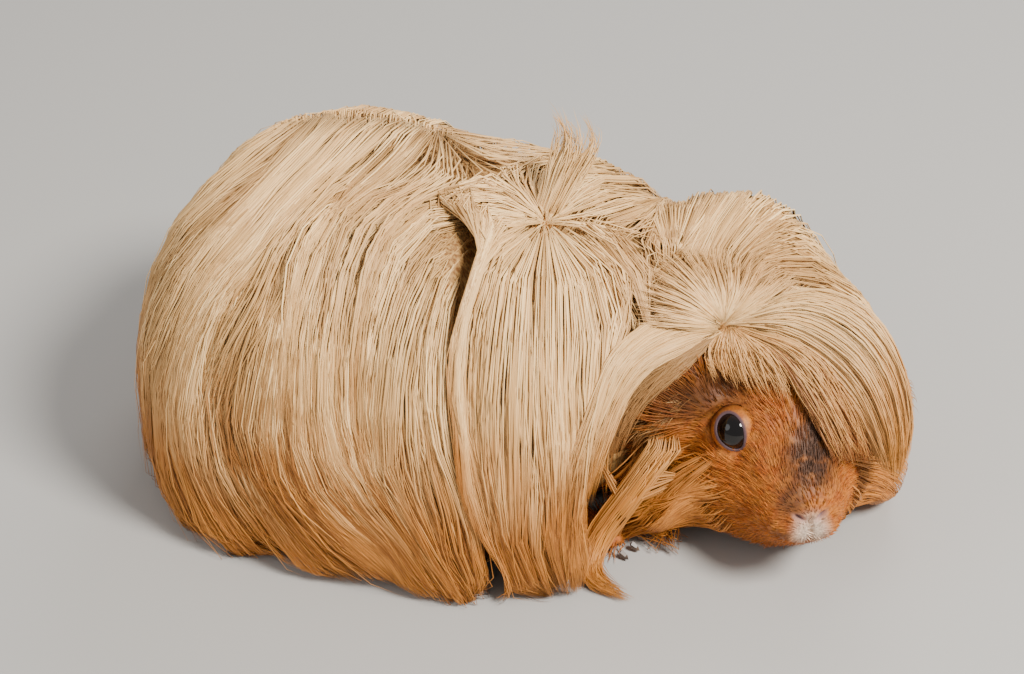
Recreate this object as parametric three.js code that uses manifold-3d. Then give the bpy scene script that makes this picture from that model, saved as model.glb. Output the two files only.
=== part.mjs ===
// A long-haired guinea pig, life size, resting on the floor with its head turned to its right.
//
// Millimetres. +X runs from the rump to the shoulders, +Y is the animal's left, +Z is up, and the
// floor is z = 0. The head and all that grows on it are made in the head's own frame, which has the
// tip of the nose at its origin, the face looking along +X and the crown along +Z. A group turns
// and places that frame. At the end the whole animal is shifted so that its origin is the middle
// of its box at floor level.
//
// Rounded forms are spheres whose points are moved onto a formula. Where one piece lies against
// another, the outer one is cut with a copy of the inner one that is larger by GAP.

import * as THREE from 'three';
import { mergeVertices } from 'three/addons/utils/BufferGeometryUtils.js';
import Module from 'manifold-3d';

const wasm = await Module();
wasm.setup();

// ---------------------------------------------------------------------------------------------
// Driving dimensions

const GAP = 0.3;
const FLOOR_LIFT = 1.2; // belly coat above the floor, so that soles and lock ends carry the animal

// Coat of the body: a haystack with a square rump, a round front and the hem on the floor.
const COAT = {
  centre: { x: -20, y: 2 },
  toRear: 90,
  toFront: 84,
  halfWidth: 67,
  rumpTop: 101,
  backTop: 104,
  shoulderTop: 95,
  rumpEnd: -62,
  shoulderStart: -6,
  rumpSquareness: 3.4,
  frontLeftSquareness: 3,
  frontRightSquareness: 2.2,
  sideFullness: 2.5,
  rumpFullness: 3.9,
  napeFullness: 3.3,
};

// Coat of the neck: a lower heap round the back of the head.
const MANE = {
  centre: { x: 66, y: 14 },
  yaw: -58,
  toBack: 46,
  toFront: 44,
  toLeft: 50,
  toRight: 56,
  napeTop: 92,
  crownTop: 73,
  throat: 22,
  sideFullness: 2.6,
  napeFullness: 3.8,
};

// Locks: grooves in the coat, deepest at the hem.
const LOCKS = { count: 12, depth: 2.6, lean: 1.1, notch: 4 };

// Body under the coat.
const TRUNK = { rear: -90, front: 40, belly: 7, back: 88, haunch: 46, shoulder: 33, midline: 2 };

// Head. x is the distance behind the nose tip, as a negative number.
const HEAD = {
  nose: { x: 95, y: -35, z: 30 },
  yaw: -64,
  pitch: -8,
  roll: 0,
  length: 61,
  muzzleHalf: 14,
  cheekHalf: 31,
  muzzleTop: 12,
  crownTop: 43,
  lip: -12,
  jaw: -24,
  throat: -18,
};

const EYE = { x: -28, y: 14, z: 16, radius: 6.2 };
const EAR = { x: -41, y: 22, z: 33, width: 24, length: 24, thick: 1.8 };

const FORE_FOOT = {
  width: 13,
  length: 15,
  height: 7.5,
  toes: 4,
  toeLength: 7,
  toeRadius: 1.9,
  claw: 3.4,
};

const HIND_FOOT = {
  width: 12.5,
  length: 36,
  height: 8.5,
  toes: 3,
  toeLength: 9,
  toeRadius: 2.3,
  claw: 4.6,
};

const COLOUR = {
  cream: 0xdcb98a,
  gold: 0xc8904e,
  face: 0xb87538,
  undercoat: 0x9a6a3c,
  skin: 0xb58f88,
  eye: 0x0d0a0c,
  claw: 0x8d7766,
};

// ---------------------------------------------------------------------------------------------
// Small helpers

const radians = THREE.MathUtils.degToRad;

const smooth = (x, from, to) => {
  const s = THREE.MathUtils.clamp((x - from) / (to - from), 0, 1);
  return s * s * (3 - 2 * s);
};

const blend = (x, from, to, a, b) => a + (b - a) * smooth(x, from, to);

// Height of a rounded end, 0 at its tip and 1 from s = 1 on.
const roundEnd = (s, power) => (1 - (1 - Math.min(Math.max(s, 0), 1)) ** power) ** (1 / power);

const signedPower = (value, power) => Math.sign(value) * Math.abs(value) ** power;

// A closed body: a sphere whose points go to place(t, angle), with t from one pole to the other.
function formed(rings, sides, place) {
  const geometry = new THREE.SphereGeometry(1, sides, rings);
  const { position, uv } = geometry.attributes;
  const point = new THREE.Vector3();
  for (let i = 0; i < position.count; i += 1) {
    const t = 1 - uv.getY(i);
    const onPole = t < 1e-6 || t > 1 - 1e-6;
    const angle = onPole ? 0 : ((uv.getX(i) + 1e-9) % 1) * Math.PI * 2;
    place(t, angle, point);
    position.setXYZ(i, point.x, point.y, point.z);
  }
  geometry.deleteAttribute('normal');
  geometry.deleteAttribute('uv');
  return facingOut(mergeVertices(geometry, 1e-4));
}

function signedVolume(geometry) {
  const { position } = geometry.attributes;
  const [a, b, c] = [new THREE.Vector3(), new THREE.Vector3(), new THREE.Vector3()];
  let six = 0;
  for (let i = 0; i < geometry.index.count; i += 3) {
    a.fromBufferAttribute(position, geometry.index.getX(i));
    b.fromBufferAttribute(position, geometry.index.getX(i + 1));
    c.fromBufferAttribute(position, geometry.index.getX(i + 2));
    six += a.dot(b.cross(c));
  }
  return six / 6;
}

function facingOut(geometry) {
  if (signedVolume(geometry) > 0) return geometry;
  const { index } = geometry;
  for (let i = 0; i < index.count; i += 3) {
    const second = index.getX(i + 1);
    index.setX(i + 1, index.getX(i + 2));
    index.setX(i + 2, second);
  }
  return geometry;
}

function solid(geometry) {
  return new wasm.Manifold(new wasm.Mesh({
    numProp: 3,
    vertProperties: new Float32Array(geometry.attributes.position.array),
    triVerts: new Uint32Array(geometry.index.array),
  }));
}

function toGeometry(body) {
  const { vertProperties, triVerts } = body.getMesh();
  const geometry = new THREE.BufferGeometry();
  geometry.setAttribute('position', new THREE.BufferAttribute(vertProperties, 3));
  geometry.setIndex(new THREE.BufferAttribute(triVerts, 1));
  return geometry;
}

const cut = (body, ...tools) => tools.reduce((rest, tool) => rest.subtract(tool), body);
const join = (body, ...others) => others.reduce((whole, other) => whole.add(other), body);

const moved = (geometry, matrix) => facingOut(geometry.clone().applyMatrix4(matrix));

function mesh(name, body, color, roughness = 0.8) {
  const material = new THREE.MeshStandardMaterial({ color, roughness, metalness: 0 });
  const piece = new THREE.Mesh(toGeometry(body), material);
  piece.name = name;
  return piece;
}

// A rounded tube along a curve. size(t) gives [half-width, half-thickness]; the flat of the
// section faces the way that outward(t) points.
function lock({ points, size, outward, rings = 12, sides = 10, grow = 0 }) {
  const curve = new THREE.CatmullRomCurve3(points.map((p) => new THREE.Vector3(...p)));
  const side = new THREE.Vector3();
  const out = new THREE.Vector3();
  return formed(rings, sides, (t, angle, point) => {
    const s = (1 - Math.cos(Math.PI * t)) / 2;
    const tangent = curve.getTangent(s);
    const end = Math.sqrt(Math.max(0, 1 - (2 * s - 1) ** 6));
    const [half, thick] = size(s);
    side.crossVectors(tangent, outward).normalize();
    out.crossVectors(side, tangent).normalize();
    point.copy(curve.getPoint(s));
    point.addScaledVector(side, (half * end + grow * Math.min(1, end * 2)) * Math.cos(angle));
    point.addScaledVector(out, (thick * end + grow * Math.min(1, end * 2)) * Math.sin(angle));
    point.addScaledVector(tangent, grow * (2 * s - 1));
  });
}

// A block turned about the vertical, used only to cut.
function block(size, centre, yaw = 0) {
  const box = new THREE.BoxGeometry(...size);
  box.rotateZ(radians(yaw));
  box.translate(...centre);
  box.deleteAttribute('normal');
  box.deleteAttribute('uv');
  return solid(facingOut(mergeVertices(box, 1e-4)));
}

// ---------------------------------------------------------------------------------------------
// Coat

// 0 on the crest of a lock, 1 in the groove between two.
function groove(angle, drop) {
  const phase = (angle * LOCKS.count) / 2 + LOCKS.lean * drop;
  return (1 - Math.abs(Math.sin(phase))) ** 2;
}

// Distance from the middle to the hem of an outline whose four quarters have their own reach.
function reach(angle, front, rear, left, right, squareness) {
  const along = Math.cos(angle) > 0 ? front : rear;
  const across = Math.sin(angle) > 0 ? left : right;
  const sum = Math.abs(Math.cos(angle) / along) ** squareness
    + Math.abs(Math.sin(angle) / across) ** squareness;
  return sum ** (-1 / squareness);
}

// A heap of hair with a flat underside: hem(angle) is its outline on the floor, top(x, y) the
// height of its ridge and fullness(angle) how square its sides are. A larger copy, used to cut, also
// goes below the floor.
function heap(rings, sides, { centre, turn = 0, hem, top, fullness, grow = 0 }) {
  const hemAt = Math.round(0.74 * rings) / rings;
  return formed(rings, sides, (t, angle, point) => {
    const fall = Math.min(t / hemAt, 1) * (Math.PI / 2);
    const under = Math.max(0, (t - hemAt) / (1 - hemAt));
    const power = 2 / fullness(angle);
    const out = under > 1e-6 ? 1 - under : Math.sin(fall) ** power;
    const rise = t > hemAt - 1e-6 ? 0 : Math.cos(fall) ** power;
    const depth = groove(angle, rise) * smooth(out, 0.35, 0.95);
    const skirt = grow > 0 && rise === 0 ? 1 : 0;
    const radius = (hem(angle) - LOCKS.depth * depth + grow + skirt) * out;
    point.set(
      centre.x + radius * Math.cos(angle + turn),
      centre.y + radius * Math.sin(angle + turn),
      0,
    );
    const inside = smooth(under, 0, 0.12);
    const notch = LOCKS.notch * Math.max(0, depth - 0.1) * (1 - smooth(rise, 0, 0.2));
    point.z = rise * (top(point.x, point.y) + grow) + notch * (1 - inside) + FLOOR_LIFT * inside;
    if (skirt > 0) point.z = -5;
  });
}

function bodyCoat(grow = 0) {
  const { centre, toRear, toFront, halfWidth } = COAT;
  const squareness = (angle) => {
    if (Math.cos(angle) < 0) return COAT.rumpSquareness;
    return Math.sin(angle) > 0 ? COAT.frontLeftSquareness : COAT.frontRightSquareness;
  };
  return heap(12, 48, {
    centre,
    hem: (angle) => reach(angle, toFront, toRear, halfWidth, halfWidth, squareness(angle)),
    top: (x) => blend(x, -40, 45, COAT.backTop, COAT.shoulderTop)
      - blend(x, -100, -50, COAT.backTop - COAT.rumpTop, 0),
    fullness: (angle) => COAT.sideFullness
      + (COAT.rumpFullness - COAT.sideFullness) * Math.max(0, -Math.cos(angle)) ** 1.5
      + (COAT.napeFullness - COAT.sideFullness) * Math.max(0, Math.cos(angle - radians(35))) ** 3,
    grow,
  });
}

const maneTurn = radians(MANE.yaw);

// Distance of a point in front of the middle of the mane, the way the head points.
function maneForward(x, y) {
  const { centre } = MANE;
  return (x - centre.x) * Math.cos(maneTurn) + (y - centre.y) * Math.sin(maneTurn);
}

function maneCoat(grow = 0) {
  const { centre, toBack, toFront, toLeft, toRight } = MANE;
  return heap(9, 32, {
    centre,
    turn: maneTurn,
    hem: (angle) => reach(angle, toFront, toBack, toLeft, toRight, 2.3),
    top: (x, y) => blend(maneForward(x, y), -26, 26, MANE.napeTop, MANE.crownTop),
    fullness: (angle) => MANE.sideFullness
      + (MANE.napeFullness - MANE.sideFullness) * Math.max(0, -Math.cos(angle)) ** 2,
    grow,
  });
}

// ---------------------------------------------------------------------------------------------
// Body under the coat

function trunk(grow = 0) {
  const { rear, front, belly, back, haunch, shoulder, midline } = TRUNK;
  return formed(12, 16, (t, angle, point) => {
    const s = (1 - Math.cos(Math.PI * t)) / 2;
    const x = rear + (front - rear) * s;
    const end = Math.min(roundEnd((x - rear) / 34, 2.4), roundEnd((front - x) / 34, 2.2));
    const half = blend(x, -50, 30, haunch, shoulder) * end;
    const top = blend(x, -20, 50, back, back - 12);
    const middle = (top + belly) / 2 - blend(x, 10, front, 0, 4);
    const high = ((top - belly) / 2) * end;
    point.set(
      x + grow * (2 * s - 1),
      midline + (half + grow * Math.min(1, end * 3)) * signedPower(Math.cos(angle), 0.9),
      middle + (high + grow * Math.min(1, end * 3)) * signedPower(Math.sin(angle), 0.9),
    );
  });
}

const headFrame = new THREE.Matrix4().compose(
  new THREE.Vector3(HEAD.nose.x, HEAD.nose.y, HEAD.nose.z),
  new THREE.Quaternion().setFromEuler(
    new THREE.Euler(radians(HEAD.roll), radians(HEAD.pitch), radians(HEAD.yaw), 'ZYX'),
  ),
  new THREE.Vector3(1, 1, 1),
);

const fromHead = (x, y, z) => new THREE.Vector3(x, y, z).applyMatrix4(headFrame);

function neck(grow = 0) {
  const start = new THREE.Vector3(30, TRUNK.midline + 1, 46);
  const end = fromHead(-46, 0, 8);
  const middle = new THREE.Vector3((start.x + end.x) / 2 + 2, (start.y + end.y) / 2 + 6, 39);
  return lock({
    points: [start, middle, end].map((p) => p.toArray()),
    size: (s) => [blend(s, 0, 1, 32, 25), blend(s, 0, 1, 33, 25)],
    outward: new THREE.Vector3(0, 0, 1),
    rings: 5,
    sides: 12,
    grow,
  });
}

// Half-width of the head, and the heights of its upper and lower outline, in its own frame.
function headSection(x) {
  const tip = roundEnd(-x / 13, 2.3);
  const nape = roundEnd((x + HEAD.length) / 15, 2.2);
  const end = Math.min(tip, nape);
  const chin = blend(x, -3, -24, HEAD.lip, HEAD.jaw);
  const rise = blend(x, -34, -60, 0, HEAD.throat - HEAD.jaw);
  return {
    half: blend(x, -6, -34, HEAD.muzzleHalf, HEAD.cheekHalf) * end,
    top: blend(x, -2, -46, HEAD.muzzleTop, HEAD.crownTop) * end,
    bottom: (chin + rise) * end,
    end,
  };
}

function head(grow = 0) {
  return formed(16, 20, (t, angle, point) => {
    const s = (1 - Math.cos(Math.PI * t)) / 2;
    const x = -HEAD.length * s;
    const { half, top, bottom, end } = headSection(x);
    const above = Math.max(0, Math.sin(angle));
    const below = Math.max(0, -Math.sin(angle));
    const high = above > 0 ? top : -bottom;
    const rim = grow * Math.min(1, end * 3);
    const taper = 1 - blend(x, -10, -30, 0.2, 0.58) * above - 0.1 * below ** 3;
    point.set(
      x - grow * (2 * s - 1),
      (half * taper + rim) * signedPower(Math.cos(angle), 0.92),
      (high + rim) * signedPower(Math.sin(angle), 0.95) - 1.5 * (1 - end),
    );
  });
}

function eyeball(side, grow = 0) {
  const ball = new THREE.SphereGeometry(EYE.radius + grow, 12, 8);
  ball.translate(EYE.x, side * EYE.y, EYE.z);
  ball.deleteAttribute('normal');
  ball.deleteAttribute('uv');
  return mergeVertices(ball, 1e-4);
}

// A drooping petal, hollow on the side that faces the cheek.
function ear(side, grow = 0) {
  const along = new THREE.Vector3(0, side * 0.93, -0.32).normalize();
  const across = new THREE.Vector3(0.9, side * 0.1, 0.3).normalize();
  const out = new THREE.Vector3().crossVectors(across, along).normalize().multiplyScalar(side);
  return formed(7, 10, (t, angle, point) => {
    const s = (1 - Math.cos(Math.PI * t)) / 2;
    const half = (EAR.width / 2) * Math.sin(Math.PI * s) ** 0.6 * (0.75 + 0.35 * s);
    const wide = Math.cos(angle) * (half + grow);
    const thick = (EAR.thick / 2 + grow) * Math.min(1, 4 * Math.sin(Math.PI * s)) * Math.sin(angle);
    const droop = 6 * s * s + 0.018 * wide * wide;
    point.set(EAR.x, side * EAR.y, EAR.z);
    point.addScaledVector(along, EAR.length * s + grow * (2 * s - 1));
    point.addScaledVector(across, wide);
    point.addScaledVector(out, thick - droop);
  });
}

// ---------------------------------------------------------------------------------------------
// Legs

// How far to the side a toe points: -1 for the right one of a foot, 1 for the left one.
const fanOf = (foot, i) => (2 * i) / (foot.toes - 1) - 1;

// Root, tip and direction of a toe, for a foot that points along +X from its heel at the origin.
function toePlace(foot, fan) {
  const turn = radians(13) * fan;
  const inFoot = foot.length / 4 + 3;
  const length = foot.toeLength * (1 - 0.22 * Math.abs(fan)) + inFoot;
  const root = new THREE.Vector3(foot.length - inFoot, (foot.width / 2 - foot.toeRadius * 1.4) * fan, 0);
  const tip = root.clone().add(new THREE.Vector3(length * Math.cos(turn), length * Math.sin(turn), 0));
  return { root, tip, turn };
}

function sole(foot) {
  return formed(4, 8, (t, angle, point) => {
    const s = (1 - Math.cos(Math.PI * t)) / 2;
    const end = Math.sqrt(Math.max(0, 1 - (2 * s - 1) ** 4));
    const half = (foot.width / 2) * (0.7 + 0.3 * s) * end;
    const high = foot.height * end * (1 - 0.35 * s);
    point.set(foot.length * s, half * Math.cos(angle), high * Math.sin(angle));
  });
}

function toe(foot, fan) {
  const { root, tip, turn } = toePlace(foot, fan);
  return formed(3, 6, (t, angle, point) => {
    const s = (1 - Math.cos(Math.PI * t)) / 2;
    const radius = foot.toeRadius * Math.sqrt(Math.max(0, 1 - (2 * s - 1) ** 4));
    const arch = foot.toeRadius * 0.7 * Math.sin(Math.PI * s);
    point.lerpVectors(root, tip, s);
    point.x -= Math.sin(turn) * radius * Math.cos(angle);
    point.y += Math.cos(turn) * radius * Math.cos(angle);
    point.z = foot.toeRadius * 0.8 + arch + radius * Math.sin(angle);
  });
}

function claw(foot, fan) {
  const { tip, turn } = toePlace(foot, fan);
  const width = foot.toeRadius * 0.5;
  const geometry = formed(3, 5, (t, angle, point) => {
    const s = (1 - Math.cos(Math.PI * t)) / 2;
    const taper = Math.sqrt(Math.max(0, 1 - (2 * s - 1) ** 2)) * (1.5 - 0.8 * s);
    point.set(foot.claw * s, width * taper * Math.cos(angle), width * 1.2 * taper * Math.sin(angle));
    point.z += foot.toeRadius * (1.15 - 0.6 * s * s);
  });
  geometry.rotateZ(turn);
  return geometry.translate(tip.x + GAP * Math.cos(turn), tip.y + GAP * Math.sin(turn), 0);
}

const placeOf = ({ heel, turn }) => new THREE.Matrix4()
  .makeRotationZ(radians(turn))
  .setPosition(heel.x, heel.y, 0);

function limb({ joints, thickness }, grow = 0) {
  return lock({
    points: joints,
    size: (s) => Array(2).fill(blend(s, 0.2, 1, ...thickness)),
    outward: new THREE.Vector3(0, 1, 0),
    rings: 4,
    sides: 8,
    grow,
  });
}

// The upper leg down to the ankle, joined to a foot and its toes, with a flat under the foot.
function leg(description) {
  const { foot } = description;
  const toes = Array.from({ length: foot.toes }, (_, i) => toe(foot, fanOf(foot, i)));
  const forms = [sole(foot), ...toes].map((form) => solid(moved(form, placeOf(description))));
  return cut(join(solid(limb(description)), ...forms), block([400, 400, 20], [0, 0, -10]));
}

// The pocket in the coat that holds a leg, its foot and its claws.
function legRoom(description) {
  const { foot } = description;
  const long = foot.length + foot.toeLength + foot.claw + 7;
  const pocket = formed(5, 9, (t, angle, point) => {
    const s = (1 - Math.cos(Math.PI * t)) / 2;
    const end = Math.sqrt(Math.max(0, 1 - (2 * s - 1) ** 4));
    const half = (foot.width / 2 + 1 + 5 * smooth(s, 0.3, 0.7)) * end;
    point.set(long * s - 1.5, half * Math.cos(angle), (foot.height + 2) * end * Math.sin(angle));
  });
  return join(solid(limb(description, GAP)), solid(moved(pocket, placeOf(description))));
}

const LEGS = {
  foreleg_left: {
    foot: FORE_FOOT,
    heel: { x: 50, y: 27 },
    turn: -6,
    joints: [[36, 22, 26], [44, 25, 15], [53, 27, 5]],
    thickness: [9, 5],
  },
  foreleg_right: {
    foot: FORE_FOOT,
    heel: { x: 22, y: -20 },
    turn: -12,
    joints: [[14, -18, 26], [18, -19, 15], [25, -20, 5]],
    thickness: [9, 5],
  },
  hindleg_left: {
    foot: HIND_FOOT,
    heel: { x: -62, y: 30 },
    turn: 8,
    joints: [[-44, 28, 26], [-54, 30, 15], [-55, 31, 5.5]],
    thickness: [12, 5.5],
  },
  hindleg_right: {
    foot: HIND_FOOT,
    heel: { x: -62, y: -26 },
    turn: -8,
    joints: [[-44, -24, 26], [-54, -26, 15], [-55, -27, 5.5]],
    thickness: [12, 5.5],
  },
};

// ---------------------------------------------------------------------------------------------
// Locks of the head and back

const FORELOCK = {
  points: [[-44, -10, 43], [-37, 6, 45], [-27, 20, 40], [-15, 29, 25], [-10, 28, 9]],
  size: (s) => [
    blend(s, 0, 0.4, 9, 17) * blend(s, 0.6, 1, 1, 0.45),
    blend(s, 0, 0.5, 3.5, 5) * blend(s, 0.6, 1, 1, 0.5),
  ],
  outward: new THREE.Vector3(0.35, 0.75, 0.55),
  rings: 10,
  sides: 10,
};

// The curl that drops from the right cheek to the floor.
const CHEEK_LOCK = {
  points: [[-38, -34, -6], [-38, -43, -14], [-32, -47, -20], [-22, -45, -23.5]],
  size: (s) => [blend(s, 0, 1, 9, 2.2), blend(s, 0, 1, 6, 1.6)],
  outward: new THREE.Vector3(0.2, -1, 0.3),
  rings: 9,
  sides: 9,
};

const FACE_ROOM = { crown: -41, front: 68, half: 60, high: 70 };

const BACK_TUFT = {
  points: [[9, 2, 96], [13, 10, 106], [15, 17, 114], [10, 22, 119]],
  size: (s) => [blend(s, 0, 1, 5, 1), blend(s, 0, 1, 4, 0.8)],
  outward: new THREE.Vector3(1, 0, 0.2),
  rings: 10,
  sides: 8,
};

// Long fur behind the cheek, from under the ear to the throat; the left one is pressed flatter.
const CHEEK_FUR = {
  x: -41,
  long: 16,
  top: 16,
  drop: 40,
  flare: 6,
  left: { y: 27, half: 13 },
  right: { y: 31, half: 18 },
};

function cheekFur(name, side) {
  const { x, long, top, drop, flare } = CHEEK_FUR;
  const { y, half } = CHEEK_FUR[name];
  return formed(7, 9, (t, angle, point) => {
    const s = (1 - Math.cos(Math.PI * t)) / 2;
    const end = Math.sin(Math.PI * t);
    const lateral = y + half * Math.sin(angle) * end + flare * s;
    point.set(x + long * Math.cos(angle) * end, side * lateral, top - drop * s);
  });
}

// Room that the coat leaves round the face, from the crown forward; a smaller copy leaves a gap.
function faceRoom(shrink = 0) {
  const { crown, front, half, high } = FACE_ROOM;
  const from = crown + shrink;
  return formed(10, 20, (t, angle, point) => {
    const s = (1 - Math.cos(Math.PI * t)) / 2;
    const x = from + (front - from) * s;
    const end = Math.min(roundEnd((x - from) / 12, 2.6), roundEnd((front - x) / 10, 2));
    point.set(x, (half - shrink) * end * Math.cos(angle), (high - shrink) * end * Math.sin(angle));
  });
}

// ---------------------------------------------------------------------------------------------
// The animal

const animal = new THREE.Group();
const headGroup = new THREE.Group();
headGroup.applyMatrix4(headFrame);
animal.add(headGroup);

const inWorld = (geometry) => solid(moved(geometry, headFrame));

const headSolid = cut(solid(head()), solid(eyeball(1, GAP)), solid(eyeball(-1, GAP)));
headGroup.add(mesh('head', headSolid, COLOUR.face));
for (const [name, side] of [['left', 1], ['right', -1]]) {
  headGroup.add(mesh(`eye_${name}`, solid(eyeball(side)), COLOUR.eye, 0.08));
  headGroup.add(mesh(`ear_${name}`, cut(solid(ear(side)), solid(head(GAP))), COLOUR.skin, 0.6));
}

const trunkCutter = solid(trunk(GAP));
const neckCutter = solid(neck(GAP));
const headCutter = inWorld(head(GAP));
const earCutters = [inWorld(ear(1, GAP)), inWorld(ear(-1, GAP))];
const underHead = inWorld(head(GAP).translate(0, 0, -6));
animal.add(mesh('trunk', solid(trunk()), COLOUR.undercoat));
animal.add(mesh('neck', cut(solid(neck()), trunkCutter, headCutter, ...earCutters), COLOUR.undercoat));

for (const [name, description] of Object.entries(LEGS)) {
  const { foot } = description;
  animal.add(mesh(name, cut(leg(description), trunkCutter, neckCutter), COLOUR.undercoat));
  for (let i = 0; i < foot.toes; i += 1) {
    const geometry = moved(claw(foot, fanOf(foot, i)), placeOf(description));
    animal.add(mesh(`claw_${name}_${i + 1}`, solid(geometry), COLOUR.claw, 0.4));
  }
}

const flesh = [
  trunkCutter,
  headCutter,
  underHead,
  neckCutter,
  ...earCutters,
  ...Object.values(LEGS).map(legRoom),
];
const bodyHair = cut(solid(bodyCoat()), ...flesh, inWorld(faceRoom()));
const LENGTHS = [
  ['coat_rump', -200, COAT.rumpEnd],
  ['coat_flank', COAT.rumpEnd, COAT.shoulderStart],
  ['coat_shoulder', COAT.shoulderStart, 200],
];
for (const [name, from, to] of LENGTHS) {
  const middle = [(from + to) / 2, 0, 50];
  const long = to - from - GAP;
  if (name === 'coat_rump') {
    animal.add(mesh(name, bodyHair.intersect(block([long, 300, 300], middle)), COLOUR.cream));
    continue;
  }
  for (const [side, sign] of [['left', 1], ['right', -1]]) {
    const half = block([long, 200, 300], [middle[0], COAT.centre.y + sign * (100 + GAP / 2), 50]);
    animal.add(mesh(`${name}_${side}`, bodyHair.intersect(half), COLOUR.cream));
  }
}

const neckHair = cut(solid(maneCoat()), solid(bodyCoat(GAP)), ...flesh, inWorld(faceRoom()));
for (const [side, sign] of [['left', 1], ['right', -1]]) {
  const off = sign * (100 + GAP / 2);
  const centre = [
    MANE.centre.x - off * Math.sin(maneTurn),
    MANE.centre.y + off * Math.cos(maneTurn),
    sign < 0 ? 150 + MANE.throat : 50,
  ];
  const half = block([300, 200, 300], centre, MANE.yaw);
  animal.add(mesh(`mane_${side}`, neckHair.intersect(half), COLOUR.cream));
}

const combed = cut(join(solid(bodyCoat(GAP)), solid(maneCoat(GAP))), inWorld(faceRoom(GAP)));
const round = [...flesh, combed];
animal.add(mesh('forelock', cut(inWorld(lock(FORELOCK)), ...round), COLOUR.gold));
const curl = inWorld(lock({ ...CHEEK_LOCK, grow: GAP }));
animal.add(mesh('cheek_lock_right', cut(inWorld(lock(CHEEK_LOCK)), ...round), COLOUR.gold));
for (const [name, side] of [['left', 1], ['right', -1]]) {
  const form = inWorld(cheekFur(name, side));
  const fur = cut(form, ...round, curl, inWorld(lock({ ...FORELOCK, grow: GAP })));
  animal.add(mesh(`cheek_fur_${name}`, fur, COLOUR.gold));
}
animal.add(mesh('back_tuft', cut(solid(lock(BACK_TUFT)), combed), COLOUR.cream));

const box = new THREE.Box3().setFromObject(animal, true);
const middle = box.getCenter(new THREE.Vector3());
animal.position.set(-middle.x, -middle.y, -box.min.z);

export default animal;
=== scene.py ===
"""Looks of a long-haired guinea pig that rests on the floor with its head turned to its right.

The coat is worked out in millimetres in the animal's own frame: +X from the rump to the shoulders,
+Y to its left, +Z up, floor at zero. The head has a frame of its own, with the nose tip at its
origin, the face along +X and the crown along +Z. Meshes are written in metres in the row's frame.
"""

import math

import bmesh
import bpy
import numpy as np
from mathutils import Matrix, Vector
from mathutils.bvhtree import BVHTree


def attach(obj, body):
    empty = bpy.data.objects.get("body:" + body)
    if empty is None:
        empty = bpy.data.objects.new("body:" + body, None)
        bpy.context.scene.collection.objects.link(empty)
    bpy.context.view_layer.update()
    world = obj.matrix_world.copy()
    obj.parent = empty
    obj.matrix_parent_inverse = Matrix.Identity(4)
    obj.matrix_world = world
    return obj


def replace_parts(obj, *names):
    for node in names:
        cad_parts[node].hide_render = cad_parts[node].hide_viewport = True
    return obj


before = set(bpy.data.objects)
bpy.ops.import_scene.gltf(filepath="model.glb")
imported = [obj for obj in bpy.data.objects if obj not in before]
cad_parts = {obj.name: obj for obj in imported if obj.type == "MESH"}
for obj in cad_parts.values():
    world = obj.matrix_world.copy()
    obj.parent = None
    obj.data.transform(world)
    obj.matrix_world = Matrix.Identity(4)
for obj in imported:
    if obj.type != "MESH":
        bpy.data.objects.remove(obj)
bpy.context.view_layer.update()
MM = 0.001
SEED = 7

# -------------------------------------------------------------------------------------------------
# Frames

NOSE = np.array([95.0, -35.0, 30.0])
HEAD_YAW = math.radians(-64)
HEAD_PITCH = math.radians(-8)
HEAD_AXES = np.array(Matrix.Rotation(HEAD_YAW, 3, "Z") @ Matrix.Rotation(HEAD_PITCH, 3, "Y"))
EYE = np.array([-28.0, 14.0, 16.0])
EYE_RADIUS = 6.2
RIGHT = np.array([1.0, -1.0, 1.0])


def from_head(points):
    """Points of the head's frame, in the animal's frame."""
    return NOSE + np.asarray(points, float) @ HEAD_AXES.T


def to_head(points):
    """Points of the animal's frame, in the head's frame."""
    return (np.asarray(points, float) - NOSE) @ HEAD_AXES


def head_direction(x, y, z):
    """A direction of the head's frame, in the animal's frame."""
    return HEAD_AXES @ np.array([x, y, z], float)


def corners(mesh):
    """Vertices of a mesh as an array."""
    co = np.zeros(len(mesh.vertices) * 3)
    mesh.vertices.foreach_get("co", co)
    return co.reshape(-1, 3)


def spots_of(body):
    """Vertices of a bmesh as an array."""
    return np.array([v.co[:] for v in body.verts])


EYE_IN_ROW = corners(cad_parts["eye_right"].data).mean(0) / MM
SHIFT = from_head(EYE * RIGHT) - EYE_IN_ROW


def to_row(points):
    """Millimetres of the animal's frame, in metres of the row's frame."""
    return (np.asarray(points, float) - SHIFT) * MM


def to_animal(points):
    """Metres of the row's frame, in millimetres of the animal's frame."""
    return np.asarray(points, float) / MM + SHIFT


def place_verts(body, head_points):
    """Moves the vertices of a bmesh to points of the head's frame."""
    for vert, place in zip(body.verts, to_row(from_head(head_points)).tolist()):
        vert.co = place


def triangles(mesh):
    """Vertex numbers and corners of a mesh's triangles, and normals as long as twice their area."""
    mesh.calc_loop_triangles()
    faces = np.zeros(len(mesh.loop_triangles) * 3, int)
    mesh.loop_triangles.foreach_get("vertices", faces)
    faces = faces.reshape(-1, 3)
    tri = to_animal(corners(mesh))[faces]
    return faces, tri, np.cross(tri[:, 1] - tri[:, 0], tri[:, 2] - tri[:, 0])


def scatter(tri, chance, count, rng):
    """Random triangles by their chance, and a random point on each."""
    pick = rng.choice(len(tri), size=count, p=chance / chance.sum())
    weights = rng.dirichlet((1, 1, 1), size=count)
    return pick, (tri[pick] * weights[:, :, None]).sum(1)


# -------------------------------------------------------------------------------------------------
# Small helpers


def unit(v):
    return v / np.maximum(np.linalg.norm(v, axis=-1, keepdims=True), 1e-9)


def smooth(x, low, high):
    s = np.clip((x - low) / (high - low), 0, 1)
    return s * s * (3 - 2 * s)


def blend(x, low, high, a, b):
    return a + (b - a) * smooth(x, low, high)


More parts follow.
